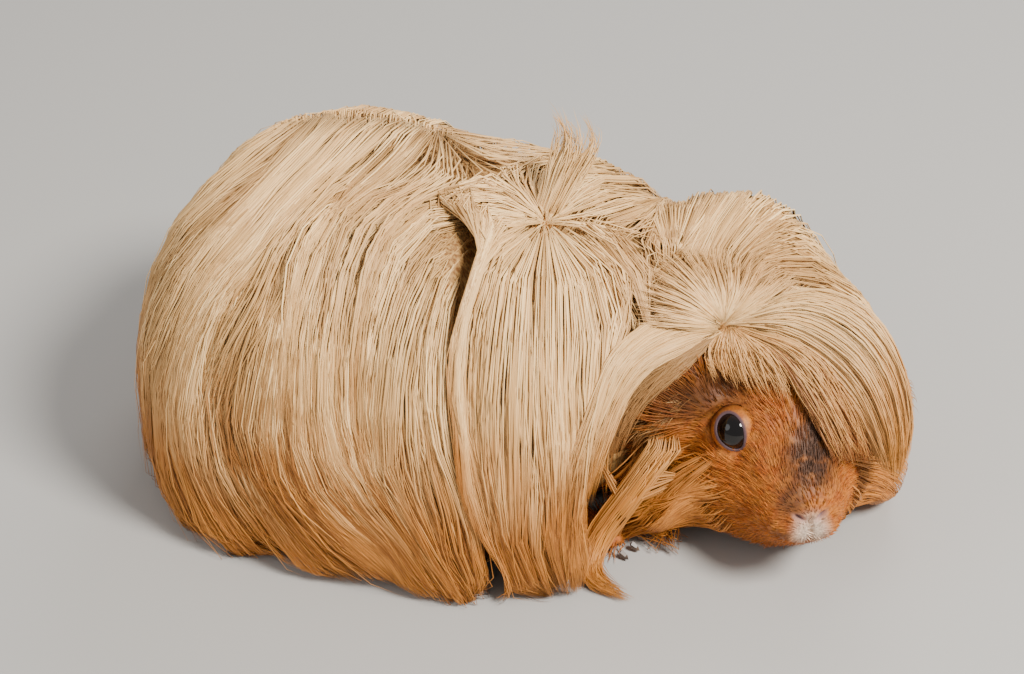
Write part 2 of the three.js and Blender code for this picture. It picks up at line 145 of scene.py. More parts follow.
RIPPLE_WAVES = 5
RIPPLE_PEAK = 2.6


def ripple(points, wavelength, seed):
    """Smooth noise, mostly between -1 and 1."""
    rng = np.random.default_rng(seed)
    total = 0
    for _ in range(RIPPLE_WAVES):
        wave = unit(rng.normal(size=3)) * 2 * math.pi / (wavelength * rng.uniform(0.7, 1.5))
        total = total + np.sin(points @ wave + rng.uniform(0, 2 * math.pi))
    return total / RIPPLE_PEAK


def ripples(points, wavelength, seed):
    """Smooth noise along each of the three axes."""
    return np.stack([ripple(points, wavelength, seed + i) for i in range(3)], -1)


def degrees_from(axis, directions):
    """Degrees between an axis and each direction."""
    return np.degrees(np.arccos(np.clip(directions @ axis, -1, 1)))


def link(piece):
    bpy.context.scene.collection.objects.link(piece)
    return piece


def piece_from_bmesh(name, body, material=None):
    """A smooth-shaded object at the origin, from a bmesh in metres of the row's frame."""
    mesh = bpy.data.meshes.new(name)
    body.to_mesh(mesh)
    body.free()
    mesh.shade_smooth()
    if material is not None:
        mesh.materials.append(material)
    return link(bpy.data.objects.new(name, mesh))


# -------------------------------------------------------------------------------------------------
# Closed shells round CAD nodes, and distance to them

LEGS = ["foreleg_left", "foreleg_right", "hindleg_left", "hindleg_right"]
FLESH = ["head", "neck", "trunk"] + LEGS
BODY_COAT = [
    "coat_rump",
    "coat_flank_left",
    "coat_flank_right",
    "coat_shoulder_left",
    "coat_shoulder_right",
    "mane_left",
    "mane_right",
]
CHEEK_COAT = ["cheek_fur_left", "cheek_fur_right"]


def shell(names, voxel, grow, rounds):
    """One smooth closed mesh round several CAD nodes; grow closes the thin gaps between them."""
    body = bmesh.new()
    for name in names:
        body.from_mesh(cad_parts[name].data)
    bmesh.ops.remove_doubles(body, verts=body.verts, dist=0.01 * MM)
    body.normal_update()
    for vert in body.verts:
        vert.co += vert.normal * grow * MM
    piece = piece_from_bmesh("shell", body)
    merge = piece.modifiers.new("merge", "REMESH")
    merge.mode = "VOXEL"
    merge.voxel_size = voxel * MM
    relax = piece.modifiers.new("relax", "SMOOTH")
    relax.factor = 0.5
    relax.iterations = rounds
    depsgraph = bpy.context.evaluated_depsgraph_get()
    mesh = bpy.data.meshes.new_from_object(piece.evaluated_get(depsgraph))
    bpy.data.objects.remove(piece)
    return mesh


class Field:
    """Signed distance to a closed mesh in millimetres, negative inside, kept on a grid."""

    def __init__(self, mesh, step, margin):
        body = bmesh.new()
        body.from_mesh(mesh)
        self.tree = BVHTree.FromBMesh(body)
        body.free()
        points = corners(mesh) / MM
        self.step = step
        self.low = points.min(0) - margin
        self.count = np.ceil((points.max(0) + margin - self.low) / step).astype(int) + 1
        axes = [self.low[i] + step * np.arange(self.count[i]) for i in range(3)]
        grid = np.stack(np.meshgrid(*axes, indexing="ij"), -1).reshape(-1, 3) * MM
        distance = np.empty(len(grid))
        nearest = self.tree.find_nearest
        for i, point in enumerate(grid.tolist()):
            spot, normal, _, gap = nearest(point)
            away = (point[0] - spot[0]) * normal[0] + (point[1] - spot[1]) * normal[1]
            away += (point[2] - spot[2]) * normal[2]
            distance[i] = gap if away > 0 else -gap
        distance = distance.reshape(self.count) / MM
        slopes = np.stack(np.gradient(distance, step), -1)
        self.grid = np.concatenate([distance[..., None], slopes], -1)

    def at(self, points):
        """Distance and outward unit direction at points of the animal's frame."""
        points = np.asarray(points, float)
        place = (points - SHIFT - self.low) / self.step
        place = np.clip(place, 0, self.count - 1.001)
        cell = np.floor(place).astype(int)
        part = place - cell
        total = 0
        for corner in np.ndindex(2, 2, 2):
            weight = np.prod(np.where(corner, part, 1 - part), -1)[..., None]
            index = cell + corner
            total = total + weight * self.grid[index[..., 0], index[..., 1], index[..., 2]]
        return total[..., 0], unit(total[..., 1:])


# -------------------------------------------------------------------------------------------------
# Shader nodes

# How far the edge of a painted patch, marking and painted shade alike, spreads to both sides, as a
# share of the patch's radius.
PATCH_EDGE = 0.6


class Bench:
    """Adds nodes to one tree."""

    def __init__(self, tree):
        self.tree = tree

    def put(self, kind, inputs=(), **settings):
        node = self.tree.nodes.new(kind)
        for key, value in settings.items():
            setattr(node, key, value)
        for key, value in dict(inputs).items():
            if isinstance(value, bpy.types.NodeSocket):
                self.tree.links.new(value, node.inputs[key])
            else:
                node.inputs[key].default_value = value
        return node

    def math(self, operation, a, b=0.0, clamp=False):
        inputs = {0: a, 1: b}
        return self.put("ShaderNodeMath", inputs, operation=operation, use_clamp=clamp).outputs[0]

    def ramp(self, value, low, high, to_low=0.0, to_high=1.0):
        """Value mapped smoothly from low..high to to_low..to_high."""
        inputs = {"Value": value, 1: low, 2: high, 3: to_low, 4: to_high}
        kind = "ShaderNodeMapRange"
        return self.put(kind, inputs, interpolation_type="SMOOTHSTEP").outputs[0]

    def mix(self, factor, a, b, mode="MIX"):
        node = self.put("ShaderNodeMix", data_type="RGBA", blend_type=mode)
        for key, value in (("Factor_Float", factor), ("A_Color", a), ("B_Color", b)):
            socket = next(s for s in node.inputs if s.identifier == key)
            if isinstance(value, bpy.types.NodeSocket):
                self.tree.links.new(value, socket)
            else:
                socket.default_value = value
        return next(s for s in node.outputs if s.identifier == "Result_Color")

    def noise(self, vector, scale, detail=2.0):
        inputs = {"Vector": vector, "Scale": scale, "Detail": detail}
        return self.put("ShaderNodeTexNoise", inputs).outputs["Fac"]

    def attribute(self, name):
        return self.put("ShaderNodeAttribute", attribute_name=name).outputs["Fac"]

    def marking_and_shade(self, base, vector, centre, radii, amount, tint, pattern=None):
        """Base with a tint over an ellipsoid, soft at its edge, broken up by a pattern; it paints
        markings and painted shade alike.
        """
        away = self.put("ShaderNodeVectorMath", {0: vector, 1: centre}, operation="SUBTRACT")
        size = self.put("ShaderNodeVectorMath", {0: away.outputs[0], 1: radii}, operation="DIVIDE")
        length = self.put("ShaderNodeVectorMath", {0: size.outputs[0]}, operation="LENGTH")
        near = self.ramp(length.outputs["Value"], 1 - PATCH_EDGE, 1 + PATCH_EDGE, 1.0, 0.0)
        factor = self.math("MULTIPLY", near, amount)
        if pattern is not None:
            factor = self.math("MULTIPLY", factor, pattern)
        return self.mix(factor, base, tint)

    def dim(self, base, share):
        """Base multiplied by a grey."""
        grey = self.put("ShaderNodeCombineColor", {0: share, 1: share, 2: share})
        return self.mix(1.0, base, grey.outputs[0], "MULTIPLY")

    def group(self, tree, inputs):
        return self.put("ShaderNodeGroup", inputs, node_tree=tree).outputs["Color"]


def colour(red, green, blue):
    """A colour given in sRGB steps of 0 to 255, in linear light."""
    def linear(step):
        s = step / 255
        return s / 12.92 if s <= 0.04045 else ((s + 0.055) / 1.055) ** 2.4

    return (linear(red), linear(green), linear(blue), 1.0)


CREAM = colour(255, 216, 154)
STRAW = colour(242, 184, 112)
GOLD = colour(216, 146, 68)
GINGER = colour(190, 114, 48)
RUST = colour(140, 72, 28)
UMBER = colour(70, 42, 24)
ORANGE = colour(198, 121, 48)
SORREL = colour(176, 92, 26)
ROOT = colour(128, 84, 46)
# Pale end of the underwool: partly its own colour, partly painted shade seen between the long
# hairs.
UNDERWOOL_AND_SHADE = colour(204, 158, 98)
WHITE_HAIR = colour(226, 206, 186)
LILAC = colour(88, 68, 74)
PINK = colour(206, 158, 146)
EYE_BLACK = colour(8, 5, 6)
IRIS = colour(34, 22, 18)
DARK_HORN = colour(62, 48, 40)
PALE_HORN = colour(104, 84, 70)


def new_group(name, values=()):
    """A shader node group from a place and some values to a colour, with a bench to fill it."""
    tree = bpy.data.node_groups.new(name, "ShaderNodeTree")
    tree.interface.new_socket(name="Place", in_out="INPUT", socket_type="NodeSocketVector")
    for label in values:
        tree.interface.new_socket(name=label, in_out="INPUT", socket_type="NodeSocketFloat")
    tree.interface.new_socket(name="Color", in_out="OUTPUT", socket_type="NodeSocketColor")
    bench = Bench(tree)
    start = bench.put("NodeGroupInput")
    end = bench.put("NodeGroupOutput")
    return bench, start, end


def face_markings_and_shade():
    """Colour of the short fur, by place in the head's frame in millimetres: markings, with painted
    shade under the forelock and under the right ear.
    """
    bench, start, end = new_group("face_markings_and_shade")
    place = start.outputs["Place"]
    streaks = bench.noise(place, 0.35, 4.0)
    base = bench.mix(bench.ramp(streaks, 0.3, 0.7), SORREL, ORANGE)
    # Streaky mask for the umber down the nose bridge, which is partly brindle hair and partly
    # painted shade under the forelock's edge.
    brindle_and_shade = bench.ramp(bench.noise(place, 0.3, 4.0), 0.2, 0.52, 0.3, 1.0)
    for centre, radii, amount, tint, pattern in (
        ((-34, -26, -12), (24, 16, 16), 0.5, ORANGE, None),
        ((-14, -6, -20), (22, 22, 9), 0.3, RUST, None),
        # Umber down the nose bridge: partly dark brindle hair, partly painted shade, most of it
        # under the edge of the forelock.
        ((-17, 9, 17), (10, 9, 9), 1.0, UMBER, brindle_and_shade),
        ((-10, 2, 13), (9, 7, 7), 0.95, UMBER, brindle_and_shade),
        ((-4, -5, 6), (5, 4, 4.5), 0.75, UMBER, brindle_and_shade),
        ((-3, -7, -4), (3, 3, 2), 0.5, UMBER, brindle_and_shade),
        # Painted shadow under the right ear, at the temple.
        ((-39, -24, 25), (13, 15, 9), 0.85, UMBER, None),
        ((0.5, 0, -3), (3.5, 5, 6), 0.85, WHITE_HAIR, None),
    ):
        base = bench.marking_and_shade(base, place, centre, radii, amount, tint, pattern)
    bench.tree.links.new(base, end.inputs["Color"])
    return bench.tree


def coat_markings():
    """Colour of the long hair, by place in millimetres, place along the hair and its lock."""
    bench, start, end = new_group("coat_markings", ("Along", "Hair", "Lock"))
    along = start.outputs["Along"]
    hair = start.outputs["Hair"]
    lock = start.outputs["Lock"]
    height = bench.put("ShaderNodeSeparateXYZ", {0: start.outputs["Place"]}).outputs["Z"]
    patches = bench.noise(start.outputs["Place"], 0.03, 2.0)
    warm = bench.ramp(height, 80.0, 8.0, 0.0, 0.92)
    warm = bench.math("ADD", warm, bench.ramp(along, 0.45, 1.0, 0.0, 0.35))
    warm = bench.math("ADD", warm, bench.ramp(patches, 0.45, 0.75, 0.0, 0.25))
    warm = bench.math("ADD", warm, bench.ramp(lock, 0.0, 1.0, -0.22, 0.22))
    pale = bench.mix(hair, STRAW, CREAM)
    deep = bench.mix(hair, GINGER, GOLD)
    base = bench.mix(bench.math("MULTIPLY", warm, 1.0, clamp=True), pale, deep)
    base = bench.mix(bench.ramp(along, 0.08, 0.0, 0.0, 0.5), base, ROOT)
    bench.tree.links.new(base, end.inputs["Color"])
    return bench.tree


FACE_MARKINGS_AND_SHADE = face_markings_and_shade()
COAT_MARKINGS = coat_markings()


def new_material(name, roughness, **sockets):
    """A Principled material with its constant sockets set, and a bench for the rest."""
    material = bpy.data.materials.new(name)
    material.use_nodes = True
    tree = material.node_tree
    shader = tree.nodes["Principled BSDF"]
    shader.inputs["Roughness"].default_value = roughness
    for label, value in sockets.items():
        shader.inputs[label.replace("_", " ")].default_value = value
    return material, Bench(tree), shader


def animal_place(bench):
    """Object coordinates in millimetres of the animal's frame."""
    coordinates = bench.put("ShaderNodeTexCoord").outputs["Object"]
    inputs = {"Vector": coordinates, "Location": tuple(SHIFT), "Scale": (1000, 1000, 1000)}
    return bench.put("ShaderNodeMapping", inputs).outputs["Vector"]


def head_place(bench):
    """Object coordinates in millimetres of the head's frame."""
    away = bench.put("ShaderNodeMapping", {"Vector": animal_place(bench), "Location": tuple(-NOSE)})
    turned = {"Vector": away.outputs["Vector"], "Rotation": (0, 0, -HEAD_YAW)}
    turned = bench.put("ShaderNodeMapping", turned)
    level = {"Vector": turned.outputs["Vector"], "Rotation": (0, -HEAD_PITCH, 0)}
    return bench.put("ShaderNodeMapping", level).outputs["Vector"]


HAIR_SOCKETS = {"Specular_IOR_Level": 0.3}


def long_hair_material(name, tint=None, amount=0.0):
    """Silky hair with the coat's markings, and a tint mixed in by an amount from 0 to 1."""
    material, bench, shader = new_material(name, 0.46, **HAIR_SOCKETS)
    hair = bench.attribute("hair")
    inputs = {
        "Place": animal_place(bench),
        "Along": bench.attribute("along"),
        "Hair": hair,
        "Lock": bench.attribute("lock"),
    }
    base = bench.group(COAT_MARKINGS, inputs)
    if tint is not None:
        base = bench.mix(amount, base, tint)
    shade = bench.ramp(hair, 0.1, 0.9, 0.58, 0.98)
    shade = bench.math("ADD", shade, bench.ramp(inputs["Lock"], 0.1, 0.9, 0.22, 0.0))
    bench.tree.links.new(bench.dim(base, shade), shader.inputs["Base Color"])
    return material


def short_fur_material():
    material, bench, shader = new_material("short_fur", 0.5, **HAIR_SOCKETS)
    base = bench.group(FACE_MARKINGS_AND_SHADE, {"Place": head_place(bench)})
    base = bench.dim(base, bench.ramp(bench.attribute("hair"), 0.0, 1.0, 0.62, 1.2))
    base = bench.mix(bench.ramp(bench.attribute("along"), 0.3, 0.0, 0.0, 0.35), base, UMBER)
    bench.tree.links.new(base, shader.inputs["Base Color"])
    return material


def skin_material():
    """Furred skin, bare and lilac at the lids and ears, pink at the nose and soles."""
    material, bench, shader = new_material("skin", 0.55, Specular_IOR_Level=0.35)
    place = head_place(bench)
    furred = bench.group(FACE_MARKINGS_AND_SHADE, {"Place": place})
    grain = bench.noise(place, 1.6, 3.0)
    furred = bench.mix(bench.ramp(grain, 0.3, 0.7, 0.0, 0.45), furred, UMBER)
    bare = bench.mix(bench.attribute("pink"), LILAC, PINK)
    base = bench.mix(bench.attribute("bare"), furred, bare)
    bench.tree.links.new(base, shader.inputs["Base Color"])
    bump = bench.put("ShaderNodeBump", {"Height": grain, "Strength": 0.35, "Distance": 0.3 * MM})
    bench.tree.links.new(bump.outputs["Normal"], shader.inputs["Normal"])
    return material


def undercoat_and_shade_material():
    material, bench, shader = new_material("undercoat_and_shade", 0.7, Specular_IOR_Level=0.2)
    place = animal_place(bench)
    squeeze = {"Vector": place, "Scale": (1.0, 1.0, 0.08)}
    strands = bench.noise(bench.put("ShaderNodeMapping", squeeze).outputs["Vector"], 1.2, 4.0)
    # The underwool's colour stands partly for painted shade in the gaps of the coat.
    base = bench.mix(bench.ramp(strands, 0.3, 0.7), ROOT, UNDERWOOL_AND_SHADE)
    bench.tree.links.new(base, shader.inputs["Base Color"])
    bump = bench.put("ShaderNodeBump", {"Height": strands, "Strength": 0.8, "Distance": 0.8 * MM})
    bench.tree.links.new(bump.outputs["Normal"], shader.inputs["Normal"])
    return material


def eye_material():
    """Near black, with a brown iris that shows only at its rim."""
    sockets = {"Coat_Weight": 0.3, "Coat_Roughness": 0.02, "Specular_IOR_Level": 0.35}
    material, bench, shader = new_material("eye", 0.06, **sockets)
    base = bench.mix(bench.attribute("rim"), EYE_BLACK, IRIS)
    bench.tree.links.new(base, shader.inputs["Base Color"])
    return material


def claw_material():
    material, bench, shader = new_material("claw", 0.35, Specular_IOR_Level=0.5)
    place = animal_place(bench)
    layers = bench.noise(place, 0.8, 2.0)
    base = bench.mix(bench.ramp(layers, 0.3, 0.7), DARK_HORN, PALE_HORN)
    bench.tree.links.new(base, shader.inputs["Base Color"])
    return material


# -------------------------------------------------------------------------------------------------
# Skin


def tag(mesh, name, values):
    """A number at each vertex, kept as an attribute."""
    attribute = mesh.attributes.new(name, "FLOAT", "POINT")
    attribute.data.foreach_set("value", np.asarray(values, np.float32).ravel())


# The way that the left eye looks, and degrees from it to the edge of the lids: along the opening,
# across it, and what its front corner reaches past that.
EYE_AXIS = unit(np.array([0.74, 0.56, 0.37]))
LID_LONG = 51
LID_SHORT = 38
CANTHUS_ANGLE = 11


def to_eyes(head_points):
    """Distance from the middle of the nearer eye."""
    x, y, z = head_points.T
    return np.linalg.norm(np.stack([x, np.abs(y), z], 1) - EYE, axis=1)


def lid_axes(axis):
    """Directions across an eye: to its front corner, and square to that."""
    forward = np.array([1.0, 0, -0.9])
    forward = unit(forward - axis * (forward @ axis))
    return forward, np.cross(axis, forward)


def lid_opening(around):
    """Degrees from the eye's axis to the edge of the lids, by direction from the front corner."""
    oval = 1 / np.hypot(np.cos(around) / LID_LONG, np.sin(around) / LID_SHORT)
    return oval + CANTHUS_ANGLE * np.maximum(0, np.cos(around)) ** 8


def shape_lids(head_points, side):
    """Moves points round an eye so that the skin folds into lids and passes behind the ball."""
    centre = EYE * (1, side, 1)
    axis = EYE_AXIS * (1, side, 1)
    forward, across = lid_axes(axis)
    away = head_points - centre
    distance = np.linalg.norm(away, axis=1)
    direction = away / np.maximum(distance, 1e-6)[:, None]
    angle = degrees_from(axis, direction)
    beyond = angle - lid_opening(np.arctan2(direction @ across, direction @ forward))
    keep = smooth(beyond, 10, 34)
    far = smooth(distance, EYE_RADIUS * 1.3, EYE_RADIUS * 2.3)
    keep = np.maximum(keep, far * smooth(beyond, 4, 20))
    target = EYE_RADIUS * (blend(beyond, -6, 3, 0.86, 1.03) + 0.09 * smooth(beyond, 3, 8))
    moved = target * (1 - keep) + distance * keep
    moved = np.maximum(moved, EYE_RADIUS * 1.1 * smooth(beyond, 0, 6))
    use = (distance < 16) & (angle < 105)
    moved = np.where(use, moved, distance)
    bare = smooth(beyond, -14, -6) * (1 - smooth(beyond, 1, 4)) * use
    bare = bare * (1 - smooth(moved, EYE_RADIUS * 1.16, EYE_RADIUS * 1.4))
    return centre + direction * moved[:, None], bare


def shape_muzzle(points):
    """Nostrils, the cleft of the lip, the mouth and the pads beside it."""
    x, y, z = points.T
    front = smooth(x, -16, -3)
    cleft = np.exp(-((y / 0.8) ** 2)) * smooth(z, -11, -8) * (1 - smooth(z, 0.5, 3))
    mouth_line = -9.5 + 0.05 * y * y
    mouth = np.exp(-(((z - mouth_line) / 0.8) ** 2)) * (1 - smooth(np.abs(y), 5, 8))
    pads = np.exp(-(((np.abs(y) - 5) / 3.5) ** 2) - ((z + 4) / 4) ** 2)
    side = np.abs(y) - 3.1
    nostril = np.exp(-((side / 1.5) ** 2) - ((z - 1.6 - 0.5 * side) / 0.85) ** 2)
    chin = np.exp(-((y / 6) ** 2) - ((z + 14) / 3) ** 2)
    depth = front * (1.1 * cleft + 1.5 * mouth - 1.1 * pads + 1.9 * nostril - 0.6 * chin)
    bare = front * np.clip(nostril * 1.2 + 0.4 * mouth, 0, 1)
    moved = points.copy()
    moved[:, 0] -= depth
    return moved, bare, nostril * front


def refine(body, centre, reach):
    """Halves the edges within reach of a point of the head's frame."""
    spot = Vector(to_row(from_head(centre)))
    near = [e for e in body.edges if (e.verts[0].co - spot).length < reach * MM]
    bmesh.ops.subdivide_edges(body, edges=near, cuts=1, use_grid_fill=True)


# How far the skin lies inside the solids: under the coat, at the feet and at the nose.
COAT_DEPTH = 2.4
FOOT_DEPTH = 0.3
NOSE_DEPTH = 0.7

# Where the skin's mesh is made finer, and how far round that place.
FINE_SPOTS = (
    (EYE, 13), (EYE, 10.5), (EYE * RIGHT, 13), (EYE * RIGHT, 10.5),
    ((-3, 0, -3), 13), ((-1, 0, -3), 9),
)


def make_skin(material):
    """One skin over head, neck, trunk and legs, under the coat."""
    mesh = shell(FLESH, voxel=1.5, grow=0.45, rounds=8)
    body = bmesh.new()
    body.from_mesh(mesh)
    for centre, reach in FINE_SPOTS:
        refine(body, centre, reach)
    bmesh.ops.triangulate(body, faces=[f for f in body.faces if len(f.verts) > 4])
    body.normal_update()
    points = to_animal(spots_of(body))
    normals = np.array([v.normal[:] for v in body.verts])
    head = to_head(points)
    on_body = blend(points[:, 2], 5, 24, FOOT_DEPTH, COAT_DEPTH)
    on_face = blend(head[:, 0], -14, -1, COAT_DEPTH, NOSE_DEPTH)
    face = smooth(head[:, 0], -66, -54) * (np.abs(head[:, 1]) < 40)
    depth = on_body * (1 - face) + on_face * face
    depth = depth * blend(to_eyes(head), 8, 15, 0.3, 1)
    points = points - normals * depth[:, None]
    points[:, 2] = np.maximum(points[:, 2], 0.05)
    head = to_head(points)
    bare = np.zeros(len(points))
    for side in (1, -1):
        head, lid = shape_lids(head, side)
        bare = np.maximum(bare, lid)
    head, nose, nostril = shape_muzzle(head)
    bare = np.maximum(bare, nose)
    place_verts(body, head)
    skin = piece_from_bmesh("skin", body, material)
    soles = smooth(points[:, 2], 2.0, 0.8)
    tag(skin.data, "bare", np.maximum(bare, soles))
    tag(skin.data, "pink", np.clip((nose > 0.05) * 1.0 - 0.9 * nostril + soles, 0, 1))
    unwrap(skin)
    return skin


def unwrap(piece):
    """Unwraps a piece by its own shape into the map OFBake."""
    piece.data.uv_layers.new(name="OFBake")
    bpy.context.view_layer.objects.active = piece
    piece.select_set(True)
    bpy.ops.object.mode_set(mode="EDIT")
    bpy.ops.mesh.select_all(action="SELECT")
    bpy.ops.uv.smart_project(angle_limit=math.radians(66), island_margin=0.004)
    bpy.ops.object.mode_set(mode="OBJECT")
    piece.select_set(False)


class Scalp:
    """Finds the skin's nearest point, its outward direction and its place on the unwrap."""

    def __init__(self, skin):
        mesh = skin.data
        body = bmesh.new()
        body.from_mesh(mesh)
        self.tree = BVHTree.FromBMesh(body)
        layer = body.loops.layers.uv["OFBake"]
        self.middles = np.array([
            [sum(l[layer].uv[i] for l in f.loops) / len(f.loops) for i in range(2)]
            for f in body.faces
        ])
        body.free()

    def nearest(self, points):
        spots = []
        normals = []
        faces = []
        for point in to_row(points).tolist():
            spot, normal, face, _ = self.tree.find_nearest(point)
            spots.append(spot[:])
            normals.append(normal[:])
            faces.append(face)
        return to_animal(spots), np.array(normals), self.middles[faces]


# -------------------------------------------------------------------------------------------------
# Hair as mesh

# Directions of the corners of a hair's section, its flatness, and half of its patch on OFBake.
SECTION = np.radians([90.0, 210.0, 330.0])
FLAT = 0.6
PATCH = 0.0015

# Half-widths of the hairs in millimetres.
SEEN_WIDTH = 0.22
BACK_WIDTH = 0.28
FACE_WIDTH = 0.17
CHEEK_WIDTH = 0.2
FRINGE_WIDTH = 0.15


def hair_piece(name, paths, widths, outward, tags, roots_uv, material, silk=0.5):
    """Closed three-sided hairs along paths (hair, point, xyz), as one mesh.

    widths has the half-width at each point, outward the direction away from the body, and tags
    one number per hair for each name. silk, from 0 to 1, turns the shading outward.
    """
    count, points, _ = paths.shape
    tangent = unit(np.gradient(paths, axis=1))
    side = unit(np.cross(tangent, outward))
    up = np.cross(side, tangent)
    level = np.cos(SECTION)[None, None, :, None] * side[:, :-1, None, :]
    rise = np.sin(SECTION)[None, None, :, None] * up[:, :-1, None, :]
    ring = paths[:, :-1, None, :] + (level + FLAT * rise) * widths[:, :-1, None, None]
    verts = np.concatenate([ring.reshape(count, -1, 3), paths[:, -1:, :]], 1)
    per_hair = verts.shape[1]
    quads = []
    for row in range(points - 2):
        for corner in range(3):
            a = row * 3 + corner
            b = row * 3 + (corner + 1) % 3
            quads.append([a, a + 3, b + 3, b])
    last = (points - 2) * 3
    tris = [[last + i, per_hair - 1, last + (i + 1) % 3] for i in range(3)]
    tris.append([0, 1, 2])
    start = (np.arange(count) * per_hair)[:, None]
    loops = np.concatenate([np.ravel(quads), np.ravel(tris)])[None, :] + start
    totals = np.tile([4] * len(quads) + [3] * len(tris), count)
    mesh = bpy.data.meshes.new(name)
    mesh.vertices.add(count * per_hair)
    mesh.vertices.foreach_set("co", to_row(verts.reshape(-1, 3)).ravel())
    mesh.loops.add(loops.size)
    mesh.loops.foreach_set("vertex_index", loops.ravel().astype(np.int32))
    mesh.polygons.add(len(totals))
    starts = np.concatenate([[0], np.cumsum(totals)[:-1]])
    mesh.polygons.foreach_set("loop_start", starts.astype(np.int32))
    mesh.polygons.foreach_set("loop_total", totals.astype(np.int32))
    mesh.update(calc_edges=True)
    mesh.shade_smooth()
    shine = unit((level + rise) * (1 - silk) + up[:, :-1, None, :] * silk)
    shine = np.concatenate([shine.reshape(count, -1, 3), up[:, -1:]], 1).reshape(-1, 3)
    mesh.normals_split_custom_set_from_vertices(shine.tolist())
    along = np.append(np.repeat(np.linspace(0, 1, points)[:-1], 3), 1.0)
    tag(mesh, "along", np.tile(along, count))
    for label, values in tags.items():
        tag(mesh, label, np.repeat(values, per_hair))
    turn = np.concatenate([np.tile([-1.0, 0.0, 1.0], points - 1), [0.0]])
    patch = np.stack([turn, 2 * along - 1], -1) * PATCH
    uv = (roots_uv[:, None, :] + patch[None]).reshape(-1, 2)
    layer = mesh.uv_layers.new(name="OFBake")
    layer.data.foreach_set("uv", uv[loops.ravel()].astype(np.float32).ravel())
    mesh.materials.append(material)
    return link(bpy.data.objects.new(name, mesh))


def hair_share(name, mine, paths, widths, outward, tags, roots_uv, material, silk=0.5):
    """One mesh of the hairs that mine picks."""
    tags = {label: values[mine] for label, values in tags.items()}
    chosen = (values[mine] for values in (paths, widths, outward))
    return hair_piece(name, *chosen, tags, roots_uv[mine], material, silk)


def taper(count, points, width, rng, tip=0.62):
    """Half-widths that narrow to a point over the last part of each hair, beyond tip."""
    along = np.linspace(0, 1, points)
    shape = np.minimum(1, (1 - along) / (1 - tip)) ** 0.8 * blend(along, 0, 0.1, 0.7, 1)
    return width * rng.uniform(0.7, 1.25, count)[:, None] * shape


def respace(paths, points):
    """The same paths with evenly spaced points; the still end of a path is dropped."""
    steps = np.linalg.norm(np.diff(paths, axis=1), axis=2)
    run = np.concatenate([np.zeros((len(paths), 1)), np.cumsum(steps, 1)], 1)
    out = np.empty((len(paths), points, 3))
    share = np.linspace(0, 1, points)
    for i, (path, lengths) in enumerate(zip(paths, run)):
        wanted = share * lengths[-1]
        for axis in range(3):
            out[i, :, axis] = np.interp(wanted, lengths, path[:, axis])
    return out


# -------------------------------------------------------------------------------------------------
# Lie of the long coat

# Lines that the hair turns away from, such as a whorl or the spine: two ends, reach and strength.
WHORLS = [
    ((62, -1, 68), (62, -1, 68), 20, 2.2),
    ((11, -4, 96), (11, -4, 96), 18, 1.6),
    ((18, 6, 95), (44, 10, 84), 9, 0.6),
    ((-80, 30, 97), (-30, 28, 101), 30, 1.1),
    ((-58, -41, 92), (-58, -41, 92), 6, 0.5),
]

# The open room round the face: an ellipse ahead of a plane, in the head's frame. Hair bends away
# within the margin, and low hair that still reaches past the limit is left out.
ROOM_PLANE = -41
ROOM_HALF = 60
ROOM_HIGH = 70
ROOM_MARGIN = 7
ROOM_LIMIT = 3
ROOM_TOP = 38
UP = np.array([0.0, 0.0, 1.0])

# Degrees by which the hair leans to the front as it falls: a row for each place from the rump
# forward, with one angle for each height.
LEAN_PLACES = (-100, -75, -55, -30, -6, 3, 14, 24, 36)
LEAN_HEIGHTS = (10, 25, 42, 60, 76, 90, 101)
LEAN = (
    (26, 4, -4, -10, -14, -18, -12),
    (38, 20, 4, -8, -12, -18, -10),
    (46, 34, 16, -3, -8, -17, -4),
    (56, 48, 26, 12, 1, -12, -4),
    (34, 26, 20, 14, 10, 4, -2),
    (24, 21, 18, 10, 6, 2, -12),
    (16, 12, 5, 0, -3, -2, -8),
    (8, 6, 5, 2, -9, -13, -12),
    (4, 3, -2, -7, -12, -16, -20),
)


def lean(points):
    rows = np.stack([np.interp(points[:, 2], LEAN_HEIGHTS, row) for row in LEAN], 1)
    place = np.interp(points[:, 0], LEAN_PLACES, np.arange(len(LEAN_PLACES)))
    low = np.minimum(place.astype(int), len(LEAN_PLACES) - 2)
    part = place - low
    index = np.arange(len(points))
    return rows[index, low] * (1 - part) + rows[index, low + 1] * part


def from_line(points, start, end):
    """Way to points from the nearest place on a line between two ends."""
    start = np.array(start, float)
    line = np.array(end, float) - start
    share = np.clip((points - start) @ line / max(line @ line, 1e-9), 0, 1)
    return points - start - share[:, None] * line


def room(points):
    """Distance outside the open room round the face, and the direction into it."""
    head = to_head(points)
    behind = ROOM_PLANE - head[:, 0]
    spread = np.stack([np.zeros(len(head)), head[:, 1] / ROOM_HALF, head[:, 2] / ROOM_HIGH], -1)
    outside = (np.linalg.norm(spread, axis=1) - 1) * ROOM_HALF
    inward = np.where((behind > outside)[:, None], np.array([1.0, 0, 0]), -unit(spread))
    return np.maximum(behind, outside), inward @ HEAD_AXES.T


def to_whorls(points):
    """Distance to the nearest of the lines that the hair turns away from."""
    return np.min([np.linalg.norm(from_line(points, a, b), axis=1) for a, b, _, _ in WHORLS], 0)


